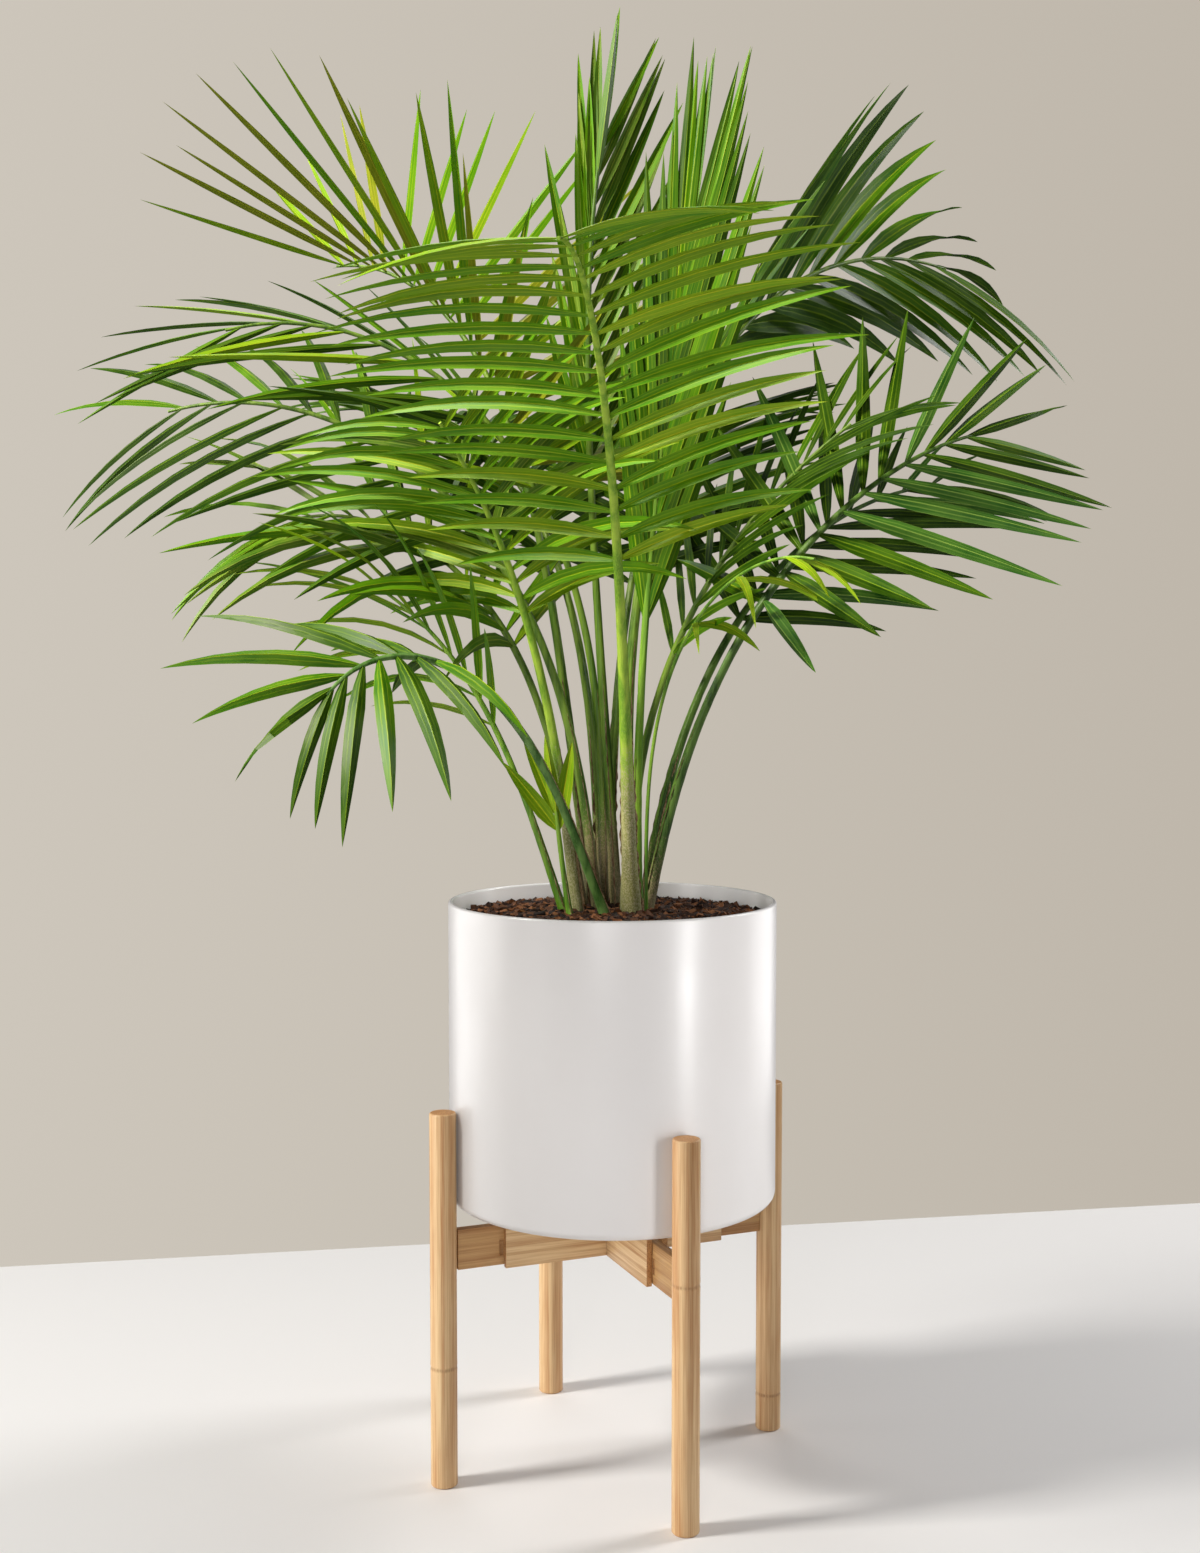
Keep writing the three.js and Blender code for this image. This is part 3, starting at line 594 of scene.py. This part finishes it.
chances = np.random.default_rng(CHIP_SEED)
corners = np.array([(x, y, z) for x in (-0.5, 0.5) for y in (-0.5, 0.5) for z in (-0.5, 0.5)])
sides = [(0, 1, 3, 2), (4, 6, 7, 5), (0, 4, 5, 1), (2, 3, 7, 6), (0, 2, 6, 4), (1, 5, 7, 3)]
verts, faces, kinds = [], [], []
for k in range(CHIP_COUNT):
    length = chances.uniform(*CHIP_LENGTH)
    shape = corners * (1 + CHIP_RAGGED * chances.uniform(-1, 1, (8, 3)))
    shape = shape * length * (1, chances.uniform(*CHIP_BREADTH), chances.uniform(*CHIP_THICKNESS))
    tip = Quaternion((1, 0, 0), chances.normal(0, CHIP_TIPPED))
    tip = tip @ Quaternion((0, 1, 0), chances.normal(0, CHIP_TIPPED))
    spin = Quaternion((0, 0, 1), chances.uniform(0, 2 * pi)) @ tip
    shape = shape @ np.array(spin.to_matrix()).T
    reach = (SOIL_RADIUS - CHIP_MARGIN) * chances.uniform(0, 1) ** 0.5
    turn = chances.uniform(0, 2 * pi)
    height = soil_height(reach / SOIL_RADIUS) + chances.uniform(*CHIP_HEIGHT)
    faces += [[8 * k + corner for corner in side] for side in sides]
    verts += list(shape + (reach * cos(turn), reach * sin(turn), height))
    kinds += [int(chances.choice(len(CHIP_BROWNS), p=list(CHIP_BROWNS.values())))] * len(sides)
piece = joined_mesh("bark_chips", verts, faces, kinds, [bark_finish(code) for code in CHIP_BROWNS])
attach(piece, "root")


# Petioles and ribs: each frond rises on a bare green stalk, channelled on its upper side and thick at its
# foot, where brown scurf covers it, and runs on as the thin rib of its blade. The plant's own lengths are
# in millimetres here, and its points in metres.
MM = 0.001
SOIL_TOP = 450.3
CURVE_STEPS = 40
PETIOLE_TAPER = 1.4
RACHIS_TIP = 1.2
STALK_SIDES = 24
STALK_RINGS = 66
STALK_ROOT = 5.0
ROLL_START = 0.75
CHANNEL_DEPTH = 0.3
CHANNEL_WIDTH = 34
CHANNEL_START = 0.05
CHANNEL_FADE = 0.6
FOOT_FLARE = 0.3
FLARE_END = 0.07
RIDGE_COUNT = 7
RIDGE_DEPTH = 0.025
LUMP_DEPTH = 0.06
LUMPS = 260
# Each frond rises at foot, heads for azimuth and leans from and to so many degrees, late where bend is high.
# Its leaflets, on what its bare petiole leaves of its length, spread from and to so many degrees off the rib,
# are lifted out of the blade's face and sag. Roll turns the face about the rib, and skew parts its sides.
USUAL_FROND = dict(
    petiole=0.48, stem=5, rib=3.2, pairs=13, width=12, skew=0, rise=0, tilt=-22, wild=1, keel=0.36,
    stalk="green",
)
FRONDS = {
    "front": dict(
        foot=(15, -8), azimuth=-96, turn=-1, lean=(17, 105), bend=2.17, length=670, petiole=0.43, stem=6.8,
        rib=3.6, pairs=19, leaf=185, width=10.5, spread=(75, 75), skew=14, lift=7, rise=-5, roll=(-25, 13),
        sag=0.4, wild=0.7, stalk="yellow", greens="fresh light bright",
    ),
    "upleft": dict(
        foot=(-17, 42), azimuth=153, turn=-3, lean=(8, 90), bend=3.6, length=660, petiole=0.53, pairs=19,
        leaf=260, width=11.5, spread=(96, 46), skew=-7, lift=39, rise=4, roll=(67, -30), sag=0, tilt=22,
        greens="olive light fresh",
    ),
    "top": dict(
        foot=(4, 44), azimuth=154, turn=40, lean=(4, -9), bend=3.6, length=632, petiole=0.54, rib=3,
        leaf=183, spread=(24, 8), skew=-10, lift=27, roll=(84, 90), sag=0, wild=1.2,
        greens="grey mid fresh",
    ),
    "spear": dict(
        foot=(21, 26), azimuth=-10, turn=4, lean=(-3, 8), bend=0.56, length=519, petiole=0.43, rib=3,
        leaf=276, width=14, spread=(13, 2), skew=3, lift=6, roll=(97, 94), sag=0, wild=0.5, keel=0.16,
        stalk="young", greens="mid deep fresh",
    ),
    "upright": dict(
        foot=(19, 58), azimuth=57, turn=-20, lean=(-8, 96), bend=1.36, length=847, petiole=0.46, stem=5.5,
        rib=3.4, leaf=270, width=22, spread=(28, 24), skew=-2, lift=4, rise=-1, roll=(82, -143), sag=0.5,
        tilt=10, wild=0.3, keel=0.2, greens="deep mid mid",
    ),
    "right": dict(
        foot=(29, 12), azimuth=-27, turn=61, lean=(12, 77), bend=1.61, length=519, petiole=0.5, stem=4.8,
        rib=3.4, pairs=11, leaf=183, width=14, spread=(100, 10), skew=9, lift=5, rise=-8, roll=(-27, 88),
        sag=0.07, wild=0.8, stalk="dark", greens="blue deep mid",
    ),
    "rightback": dict(
        foot=(27, 40), azimuth=38, turn=-8, lean=(11, 85), bend=1.35, length=535, petiole=0.46, stem=4.6,
        pairs=9, leaf=168, width=13, spread=(60, 26), lift=5, roll=(60, 30), sag=0.3, stalk="dark",
        greens="dark blue deep",
    ),
    "lowleft": dict(
        foot=(-6, -20), azimuth=-144, turn=6, lean=(24, 139), bend=2.48, length=368, petiole=0.71, stem=4.2,
        rib=3, pairs=7, leaf=140, width=15, spread=(115, 8), skew=1, lift=-6, rise=5, roll=(147, -75),
        sag=0.59, tilt=22, stalk="smooth", greens="deep deep mid",
    ),
    "farleft": dict(
        foot=(-12, 22), azimuth=-178, turn=-6, lean=(6, 105), bend=1.78, length=616, pairs=12, leaf=204,
        width=11, spread=(82, 27), skew=7, lift=-19, rise=-2, roll=(-6, -58), sag=0.36, tilt=22,
        greens="dark deep mid",
    ),
    "leftback": dict(
        foot=(-7, 56), azimuth=182, turn=8, lean=(0, 107), bend=2.1, length=655, stem=4.5, rib=3, pairs=12,
        leaf=210, width=9, spread=(60, 22), lift=-21, roll=(-16, -37), sag=0.2, wild=1.6,
        greens="deep mid light",
    ),
    "youngleft": dict(
        foot=(-40, 8), azimuth=-176, turn=10, lean=(18, 57), bend=2.4, length=303, petiole=0.5, stem=4,
        rib=2.4, pairs=7, leaf=170, width=8, spread=(52, 12), lift=-4, roll=(25, 30), sag=1, tilt=22,
        wild=1.5, stalk="young", greens="light fresh mid",
    ),
    "leftfront": dict(
        foot=(-29, 0), azimuth=-137, turn=12, lean=(8, 48), bend=1.75, length=415, petiole=0.58, pairs=14,
        leaf=177, width=11, spread=(64, 54), lift=10, roll=(-14, 24), sag=0.9, wild=1.8, stalk="yellow",
        greens="fresh light grey",
    ),
    "leftmid": dict(
        foot=(-24, 29), azimuth=-176, turn=-12, lean=(9, 99), bend=2.25, length=442, stem=4.5, rib=3,
        leaf=209, width=11.5, spread=(69, 26), lift=15, roll=(-3, -50), sag=0.8, wild=2,
        greens="fresh grey light",
    ),
    "rightmid": dict(
        foot=(20, 76), azimuth=-14, turn=0, lean=(-5, 54), bend=1, length=455, petiole=0.45, stem=4.5,
        rib=3, pairs=12, leaf=170, spread=(60, 34), lift=5, roll=(30, 30), sag=0.3, tilt=0, wild=1.2,
        greens="dark deep mid",
    ),
    "backleft": dict(
        foot=(-10, 74), azimuth=128, turn=6, lean=(2, 84), bend=1.8, length=560, pairs=16, leaf=180,
        spread=(65, 35), lift=10, roll=(0, 0), sag=0.5, greens="deep mid mid",
    ),
    "backright": dict(
        foot=(-2, 92), azimuth=70, turn=-4, lean=(3, 82), bend=1.75, length=570, pairs=16, leaf=175,
        spread=(65, 35), lift=10, roll=(0, 0), sag=0.5, greens="dark deep mid",
    ),
    "sprout": dict(
        foot=(-34, -22), azimuth=188, turn=0, lean=(9, 6), bend=1, length=87, petiole=0.72, stem=3, rib=2,
        pairs=2, leaf=76, width=13, spread=(32, -2), skew=9, lift=0, roll=(90, 90), sag=0.05, tilt=0,
        wild=0.5, stalk="young", greens="light bright fresh",
    ),
    "youngright": dict(
        foot=(27, -4), azimuth=-35, turn=-8, lean=(0, 104), bend=2.3, length=370, petiole=0.56, stem=1.7,
        rib=1.4, pairs=3, leaf=82, width=8, spread=(80, 15), lift=-25, roll=(10, 10), sag=1.2, tilt=0,
        stalk="young", greens="bright light light",
    ),
}
FRONDS = {name: {**USUAL_FROND, **own} for name, own in FRONDS.items()}


def mix(low, high, share):
    return low + (high - low) * share


def smooth(low, high, value):
    share = min(max((value - low) / (high - low), 0), 1)
    return share * share * (3 - 2 * share)


def axes_at(frond, s):
    """The way a frond runs at share s of its length, its left side, and its upper side."""
    lean = radians(mix(*frond["lean"], s ** frond["bend"]))
    azimuth = radians(frond["azimuth"] + frond["turn"] * s)
    x, y = cos(azimuth), sin(azimuth)
    along = Vector((sin(lean) * x, sin(lean) * y, cos(lean)))
    return along, Vector((-y, x, 0)), Vector((-cos(lean) * x, -cos(lean) * y, sin(lean)))


def blade_axes(frond, s, share=1.0):
    """The same axes rolled with the blade: along the rib, across it to the left, and out of its face."""
    along, left, upper = axes_at(frond, s)
    roll = radians(mix(*frond["roll"], s)) * share
    across = left * cos(roll) + upper * sin(roll)
    return along, across, along.cross(across)


def centre_line(frond):
    """The frond's centre line in metres, as points at even shares of its length."""
    line = [Vector((*frond["foot"], SOIL_TOP)) * MM]
    for k in range(CURVE_STEPS):
        line.append(line[k] + axes_at(frond, (k + 0.5) / CURVE_STEPS)[0] * frond["length"] / CURVE_STEPS * MM)
    return line


def point_at(line, s):
    k = min(whole(s * CURVE_STEPS), CURVE_STEPS - 1)
    return line[k].lerp(line[k + 1], s * CURVE_STEPS - k)


def stalk_radius(frond, s):
    bare = frond["petiole"]
    if s < bare:
        return mix(frond["rib"], frond["stem"], (1 - s / bare) ** PETIOLE_TAPER) * MM
    return mix(frond["rib"], RACHIS_TIP, (s - bare) / (1 - bare)) * MM


STALK_TONES = ("Green", "Flush", "Scurf")
skin_inputs = {**dict.fromkeys(STALK_TONES, "Color"), "Scurf top": "Float"}
stalk_skin, given = new_group("stalk_skin", skin_inputs)
tree = stalk_skin
place = object_place(tree)
height = add_node(tree, "ShaderNodeSeparateXYZ", {0: place}).outputs["Z"]
threads = stretched_noise(tree, place, (0.0009, 0.0009, 0.03))
patches = stretched_noise(tree, place, (0.009, 0.009, 0.11))
grains = stretched_noise(tree, place, (0.001, 0.001, 0.0016), 4.0)
skin = blend_colour(tree, ramp(tree, patches, 0.35, 0.65), given["Green"], given["Flush"])
skin = blend_colour(tree, ramp(tree, threads, 0.4, 0.65, 0, 0.35), skin, given["Flush"])
fade = ramp(tree, maths(tree, "SUBTRACT", given["Scurf top"], height), -0.05, 0.11)
ragged = maths(tree, "MULTIPLY_ADD", patches, 0.5, maths(tree, "MULTIPLY", grains, 0.9))
cover = ramp(tree, maths(tree, "ADD", ragged, fade), 1.05, 1.5, 0, 0.68)
scurf_colour = blend_colour(tree, ramp(tree, grains, 0.42, 0.6), colour("7C6A56"), given["Scurf"])
specks = maths(tree, "MULTIPLY", ramp(tree, grains, 0.6, 0.68, 0, 0.8), fade)
skin = blend_colour(tree, specks, skin, scurf_colour)
give_out(
    tree,
    blend_colour(tree, cover, skin, scurf_colour),
    maths(tree, "MULTIPLY_ADD", cover, 0.4, 0.42),
    maths(tree, "MULTIPLY_ADD", cover, grains, threads),
)

# A stalk's two greens, its scurf's colour, and how many metres above the floor the scurf reaches.
STALK_LOOKS = {
    "yellow": ("5C851C", "93AE3A", "A89A88", 0.6),
    "green": ("325110", "637E2A", "9C8872", 0.55),
    "dark": ("223E0F", "4B6928", "98866E", 0.52),
    "smooth": ("2D511C", "5D7F42", "869278", 0.46),
    "young": ("3F6916", "739830", "8E985D", 0.43),
}
stalk_looks = {}
for name, (*codes, scurf_top) in STALK_LOOKS.items():
    material, tree, shader = new_finish("stalk_" + name, Specular_IOR_Level=0.25)
    own = {**dict(zip(STALK_TONES, map(colour, codes))), "Scurf top": scurf_top}
    skin = add_node(tree, "ShaderNodeGroup", own, node_tree=stalk_skin).outputs
    join_surface(tree, shader, skin["Color"], skin["Height"], 0.6, 0.0004, skin["Roughness"])
    stalk_looks[name] = material


def stalk_ring(frond, line, s):
    """The stalk's section at share s: round below, with a channel on its upper side and fine ridges."""
    share = smooth(ROLL_START * frond["petiole"], frond["petiole"], s)
    along, across, face = blade_axes(frond, s, share)
    radius = stalk_radius(frond, s)
    channel = CHANNEL_DEPTH * (1 - CHANNEL_FADE * share) * smooth(0, CHANNEL_START, s)
    flare = 1 + FOOT_FLARE * (1 - smooth(0, FLARE_END, s))
    centre = point_at(line, s)
    ring = []
    for k in range(STALK_SIDES):
        turn = 2 * pi * k / STALK_SIDES
        from_top = abs((degrees(turn) - 90 + 180) % 360 - 180)
        reach = radius * (1 - channel * (1 - smooth(0, CHANNEL_WIDTH, from_top)))
        reach *= 1 + RIDGE_DEPTH * cos(RIDGE_COUNT * turn + 3) * (1 - share)
        point = centre + across * reach * cos(turn) * flare + face * reach * sin(turn)
        ring.append(point + (point - centre) * LUMP_DEPTH * noise.noise(point * LUMPS) * (1 - share))
    return ring


for name, frond in FRONDS.items():
    line = centre_line(frond)
    form = bmesh.new()
    foot = stalk_ring(frond, line, 0)
    ring = [form.verts.new(point - Vector((0, 0, STALK_ROOT * MM))) for point in foot]
    edges = [form.edges.new((ring[k - 1], ring[k])) for k in range(STALK_SIDES)]
    form.faces.new(ring)
    for step in range(STALK_RINGS + 1):
        drawn = bmesh.ops.extrude_edge_only(form, edges=edges)["geom"]
        edges = [item for item in drawn if isinstance(item, bmesh.types.BMEdge)]
        points = stalk_ring(frond, line, step / STALK_RINGS)
        fresh = set(verts_of(drawn))
        others = [[edge.other_vert(vert) for edge in vert.link_edges] for vert in ring]
        ring = [next(vert for vert in around if vert in fresh) for around in others]
        for vert, point in zip(ring, points):
            vert.co = point
    form.faces.new(ring)
    bmesh.ops.recalc_face_normals(form, faces=form.faces)
    piece = shade(new_piece("stalk_" + name, form, stalk_looks[frond["stalk"]]), sharpest=60)
    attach(piece, "root")
    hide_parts("petiole_" + name)
    plant_only.objects.link(piece)


# Sheath margins: two dry, papery edges along each stalk's channel near its foot, where its sheath split.
# Thin brown fibrous strips with a ragged outer edge, drawn along the stalk's own sections.
MARGIN_TOP = 0.62
MARGIN_STEPS = 56
MARGIN_WIDTH = 0.0034
MARGIN_THICKNESS = 0.0003
MARGIN_PLACES = (2, 10)
MARGIN_TAPER = 0.6
MARGIN_MEAN = 0.75
MARGIN_LEAST = 0.1
MARGIN_RAGGED = 0.9
MARGIN_TEETH = (60, 120)
MARGIN_OUT = 0.75
MARGIN_ASIDE = 0.65

dry_sheath, tree, shader = new_finish("dry_sheath", Roughness=0.85, Specular_IOR_Level=0.2)
place = object_place(tree)
fibres = stretched_noise(tree, place, (0.0008, 0.0008, 0.02), 3.0)
tatters = stretched_noise(tree, place, (0.006, 0.006, 0.02))
paper = blend_colour(tree, ramp(tree, fibres, 0.38, 0.62), colour("6E5038"), colour("B99C7C"))
paper = blend_colour(tree, ramp(tree, tatters, 0.5, 0.7, 0, 0.6), paper, colour("56402C"))
join_surface(tree, shader, paper, fibres, 0.7, 0.0004)

verts, faces = [], []
for name, frond in FRONDS.items():
    line = centre_line(frond)
    for index in MARGIN_PLACES:
        for step in range(MARGIN_STEPS + 1):
            share = step / MARGIN_STEPS
            s = MARGIN_TOP * frond["petiole"] * share
            point = stalk_ring(frond, line, s)[index]
            out = (point - point_at(line, s)).normalized()
            aside = out.cross(axes_at(frond, s)[0]) * (1 if index == MARGIN_PLACES[0] else -1)
            tooth = Vector((point.x * MARGIN_TEETH[0], index, point.z * MARGIN_TEETH[1]))
            ragged = max(MARGIN_MEAN + MARGIN_RAGGED * noise.noise(tooth), MARGIN_LEAST)
            width = min(MARGIN_WIDTH, stalk_radius(frond, s)) * (1 - share) ** MARGIN_TAPER * ragged
            reach = (out * MARGIN_OUT + aside * MARGIN_ASIDE) * width
            under = aside * MARGIN_THICKNESS - out * MARGIN_THICKNESS
            inner = point - out * MARGIN_THICKNESS
            if step:
                row = len(verts)
                faces += [(row - 4 + k, row - 4 + (k + 1) % 4, row + (k + 1) % 4, row + k) for k in range(4)]
            verts += [inner, inner + reach, inner + reach + under, inner + under]
piece = joined_mesh("sheath_margins", verts, faces, [0] * len(faces), [dry_sheath])
shade(piece, sharpest=40)
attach(piece, "root")


# Leaflets: long keeled blades in pairs along each rib, each widest near a third of its length.
# They vary a little about one rule, sag with their own weight, and turn slightly as they go.
SEED = 48271
RANDOM_MULTIPLIER = 16807
RANDOM_MODULUS = 2147483647
SCATTER = {"place": 0.15, "spread": 3, "lift": 4, "length": 0.07, "sag": 0.35}
LENGTH_WAVE = (27, 162)
TIP_NARROWING = 0.4
SAG_POWER = 1.3
SAG_STEPS = 24
LEAFLET_SHARES = (0, 0.05, 0.13, 0.26, 0.42, 0.58, 0.73, 0.86, 0.95)
FOOT_WIDTH = 0.22
WIDEST_AT = 0.3
POINTED = (2.2, 0.9)
LEAF_THICKNESS = 0.0005
LEAF_TRANSLUCENCE = 0.18
VEIN_WAVES = 4
# The colours of a leaflet, of its rib, of its tip and of the light that comes through it.
# Apart from olive, grey and blue, which are hues of their own, these are lighter and darker copies of one
# green. The darker ones, deep and dark, go to the fronds at the back, on the right and low in the crown, as
# painted shade. The lighter ones go to the front and young fronds, partly as painted light and partly as the
# paler green of new growth.
LEAF_GREENS = {
    "olive": "657511 A8A62B 808720 969F1F",
    "bright": "6C9610 C0C42D 84A31D 8EA626",
    "light": "59860B B2BB23 749719 7F9C1E",
    "fresh": "407A06 98AE1C 5C8A10 719C1A",
    "mid": "285B02 849B1A 4A7310 5B8917",
    "grey": "34610F 9AAB43 688022 648932",
    "deep": "1A3F02 6C871A 3D5F0E 467514",
    "dark": "0E2B02 597417 31520C 335D0D",
    "blue": "1A4812 799842 426A22 386D23",
}

LEAF_TONES = ("Green", "Rib", "Tip")
leaf_veins, given = new_group("leaf_veins", dict.fromkeys(LEAF_TONES, "Color"))
tree = leaf_veins
uv = add_node(tree, "ShaderNodeUVMap", uv_map="leaflet").outputs[0]
spread_out = add_node(tree, "ShaderNodeSeparateXYZ", {0: uv}).outputs
from_rib = maths(tree, "ABSOLUTE", maths(tree, "SUBTRACT", spread_out["X"], 0.5))
rib_share = ramp(tree, from_rib, 0.02, 0.055, 1, 0)
wave = maths(tree, "COSINE", maths(tree, "MULTIPLY", from_rib, 2 * pi * VEIN_WAVES))
vein_fade = ramp(tree, spread_out["Y"], 0.4, 0.8, 1, 0)
vein_share = maths(tree, "MULTIPLY", ramp(tree, wave, 0.55, 1.0), vein_fade)
blotches = stretched_noise(tree, object_place(tree), (0.03, 0.03, 0.03), 3.0)
flecks = stretched_noise(tree, uv, (0.14, 0.5, 1.0))
leaf = blend_colour(tree, ramp(tree, blotches, 0.35, 0.65, 0, 0.5), given["Green"], given["Tip"])
leaf = blend_colour(tree, maths(tree, "MULTIPLY", vein_share, 0.38), leaf, given["Rib"])
leaf = blend_colour(tree, ramp(tree, flecks, 0.35, 0.7, 0, 0.22), leaf, given["Rib"])
leaf = blend_colour(tree, ramp(tree, spread_out["Y"], 0.72, 1.0, 0, 0.6), leaf, given["Tip"])
give_out(
    tree,
    blend_colour(tree, maths(tree, "MULTIPLY", rib_share, 0.8), leaf, given["Rib"]),
    maths(tree, "MULTIPLY_ADD", blotches, 0.2, 0.3),
    maths(tree, "MULTIPLY_ADD", vein_share, 0.5, rib_share),
)

leaf_finishes = {}
for name, codes in LEAF_GREENS.items():
    *tones, glow = map(colour, codes.split())
    material, tree, shader = new_finish("leaf_" + name, Specular_IOR_Level=0.15)
    veins = add_node(tree, "ShaderNodeGroup", zip(LEAF_TONES, tones), node_tree=leaf_veins).outputs
    join_surface(tree, shader, veins["Color"], veins["Height"], 0.3, 0.0003, veins["Roughness"])
    through = add_node(tree, "ShaderNodeBsdfTranslucent", {"Color": glow}).outputs[0]
    thin = add_node(tree, "ShaderNodeMixShader", {0: LEAF_TRANSLUCENCE, 1: shader.outputs[0], 2: through})
    tree.links.new(thin.outputs[0], tree.nodes["Material Output"].inputs["Surface"])
    leaf_finishes[name] = material


def scatter(seed):
    """A seeded run of values from -1 to 1, the same every time."""
    state = seed
    while True:
        state = state * RANDOM_MULTIPLIER % RANDOM_MODULUS
        yield 2 * state / RANDOM_MODULUS - 1


def leaflet_plan(frond, index):
    """Where each leaflet of a frond starts and how it points. Side 1 is the frond's left."""
    values = scatter(SEED * (1 + index))
    plan = []
    for k in range(frond["pairs"]):
        for side in (1, -1):
            u = (k + 0.5) / frond["pairs"]
            longer = 0.5 + 0.5 * sin(radians(mix(*LENGTH_WAVE, u)))
            place, spread, lift, length, sag = (next(values) for _ in range(5))
            wild = frond["wild"]
            shift = SCATTER["place"] * place / frond["pairs"] if k < frond["pairs"] - 1 else 0
            plan.append({
                "side": side,
                "s": mix(frond["petiole"], 1, u + shift),
                "spread": mix(*frond["spread"], u) + wild * SCATTER["spread"] * spread - side * frond["skew"],
                "lift": frond["lift"] + wild * SCATTER["lift"] * lift + side * frond["rise"],
                "sag": frond["sag"] * (1 + wild * SCATTER["sag"] * sag),
                "length": frond["leaf"] * longer * (1 + SCATTER["length"] * length),
                "width": frond["width"] * (1 - TIP_NARROWING * u * u),
            })
    return plan


def leaflet_line(frond, line, leaflet):
    """A leaflet's midline, which sags as it goes. It starts inside the rib."""
    along, across, face = blade_axes(frond, leaflet["s"])
    spread, lift = radians(leaflet["spread"]), radians(leaflet["lift"])
    start = along * cos(spread) + across * sin(spread) * leaflet["side"] * cos(lift)
    start += face * sin(spread) * sin(lift)
    points = [point_at(line, leaflet["s"])]
    for k in range(SAG_STEPS):
        pull = leaflet["sag"] * ((k + 0.5) / SAG_STEPS) ** SAG_POWER
        way = start * (1 + pull * start.z) - Vector((0, 0, pull))
        points.append(points[k] + way.normalized() * leaflet["length"] / SAG_STEPS * MM)
    return points


def leaflet_width(t):
    """A leaflet's width at share t of its length, as a share of its greatest."""
    if t < WIDEST_AT:
        return FOOT_WIDTH + (1 - FOOT_WIDTH) * sin(pi / 2 * t / WIDEST_AT)
    return (1 - ((t - WIDEST_AT) / (1 - WIDEST_AT)) ** POINTED[0]) ** POINTED[1]


def add_leaflet(frond, line, leaflet, curl, verts, faces, places):
    """One thin closed leaflet: a left edge, a keel, a right edge and an underside that meet in a point."""
    points = leaflet_line(frond, line, leaflet)
    along = axes_at(frond, leaflet["s"])[0]
    first = len(verts)
    for t in LEAFLET_SHARES:
        k = min(whole(t * SAG_STEPS), SAG_STEPS - 1)
        centre = points[k].lerp(points[k + 1], t * SAG_STEPS - k)
        way = (points[k + 1] - points[k]).normalized()
        wide = (along - way * along.dot(way)).normalized()
        wide = Quaternion(way, leaflet["side"] * radians(frond["tilt"] + curl * t)) @ wide
        keel = wide.cross(way) * leaflet["side"]
        half = wide * leaflet["width"] / 2 * leaflet_width(t) * MM * leaflet["side"]
        rise = keel * frond["keel"] * leaflet["width"] * leaflet_width(t) * MM
        verts += [centre - half, centre + rise, centre + half, centre + rise - keel * LEAF_THICKNESS]
    verts.append(points[-1])
    rows = len(LEAFLET_SHARES)
    tip = first + 4 * rows
    shares = (0, 0.5, 1, 0.5)
    turned_round = leaflet["side"] > 0
    for row, low in enumerate(LEAFLET_SHARES):
        for k in range(4):
            after = (k + 1) % 4
            a, b = first + 4 * row + k, first + 4 * row + after
            face, spots = (a, b, tip), ((shares[k], low), (shares[after], low), (0.5, 1))
            if row < rows - 1:
                high = LEAFLET_SHARES[row + 1]
                face, spots = (a, b, b + 4, a + 4), (*spots[:2], (shares[after], high), (shares[k], high))
            faces.append(face[::-1] if turned_round else face)
            places.extend(spots[::-1] if turned_round else spots)
    cap = (first + 3, first + 2, first + 1, first)
    faces.append(cap[::-1] if turned_round else cap)
    places.extend(((0.5, 0),) * 4)


LEAFLET_TURN = 26
GREEN_SHARES = (0.5, 0.82)
SPLIT_BEND = 68
for index, (name, frond) in enumerate(FRONDS.items()):
    line = centre_line(frond)
    draw = random.Random(index + 1)
    verts, faces, places, kinds = [], [], [], []
    for leaflet in leaflet_plan(frond, index):
        before = len(faces)
        curl = draw.uniform(-LEAFLET_TURN, LEAFLET_TURN)
        add_leaflet(frond, line, leaflet, curl, verts, faces, places)
        chance = draw.random()
        kinds += [sum(chance > share for share in GREEN_SHARES)] * (len(faces) - before)
    # A frond's three greens, dealt at random to its leaflets. The darker sets of the back, right and low
    # fronds are painted shade, and the lighter sets of the front fronds are partly painted light.
    finishes = [leaf_finishes[green] for green in frond["greens"].split()]
    blade = joined_mesh("leaflets_" + name, verts, faces, kinds, finishes)
    layer = blade.data.uv_layers.new(name="leaflet")
    layer.uv.foreach_set("vector", np.array(places, dtype=np.float32).ravel())
    shade(blade, sharpest=20)
    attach(blade, "root")
    bend = axes_at(frond, 1)[0].angle(axes_at(frond, frond["petiole"])[0])
    nodes = ["frond_" + name] + (["frond_" + name + "_tip"] if degrees(bend) >= SPLIT_BEND else [])
    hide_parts(*nodes)
    plant_only.objects.link(blade)
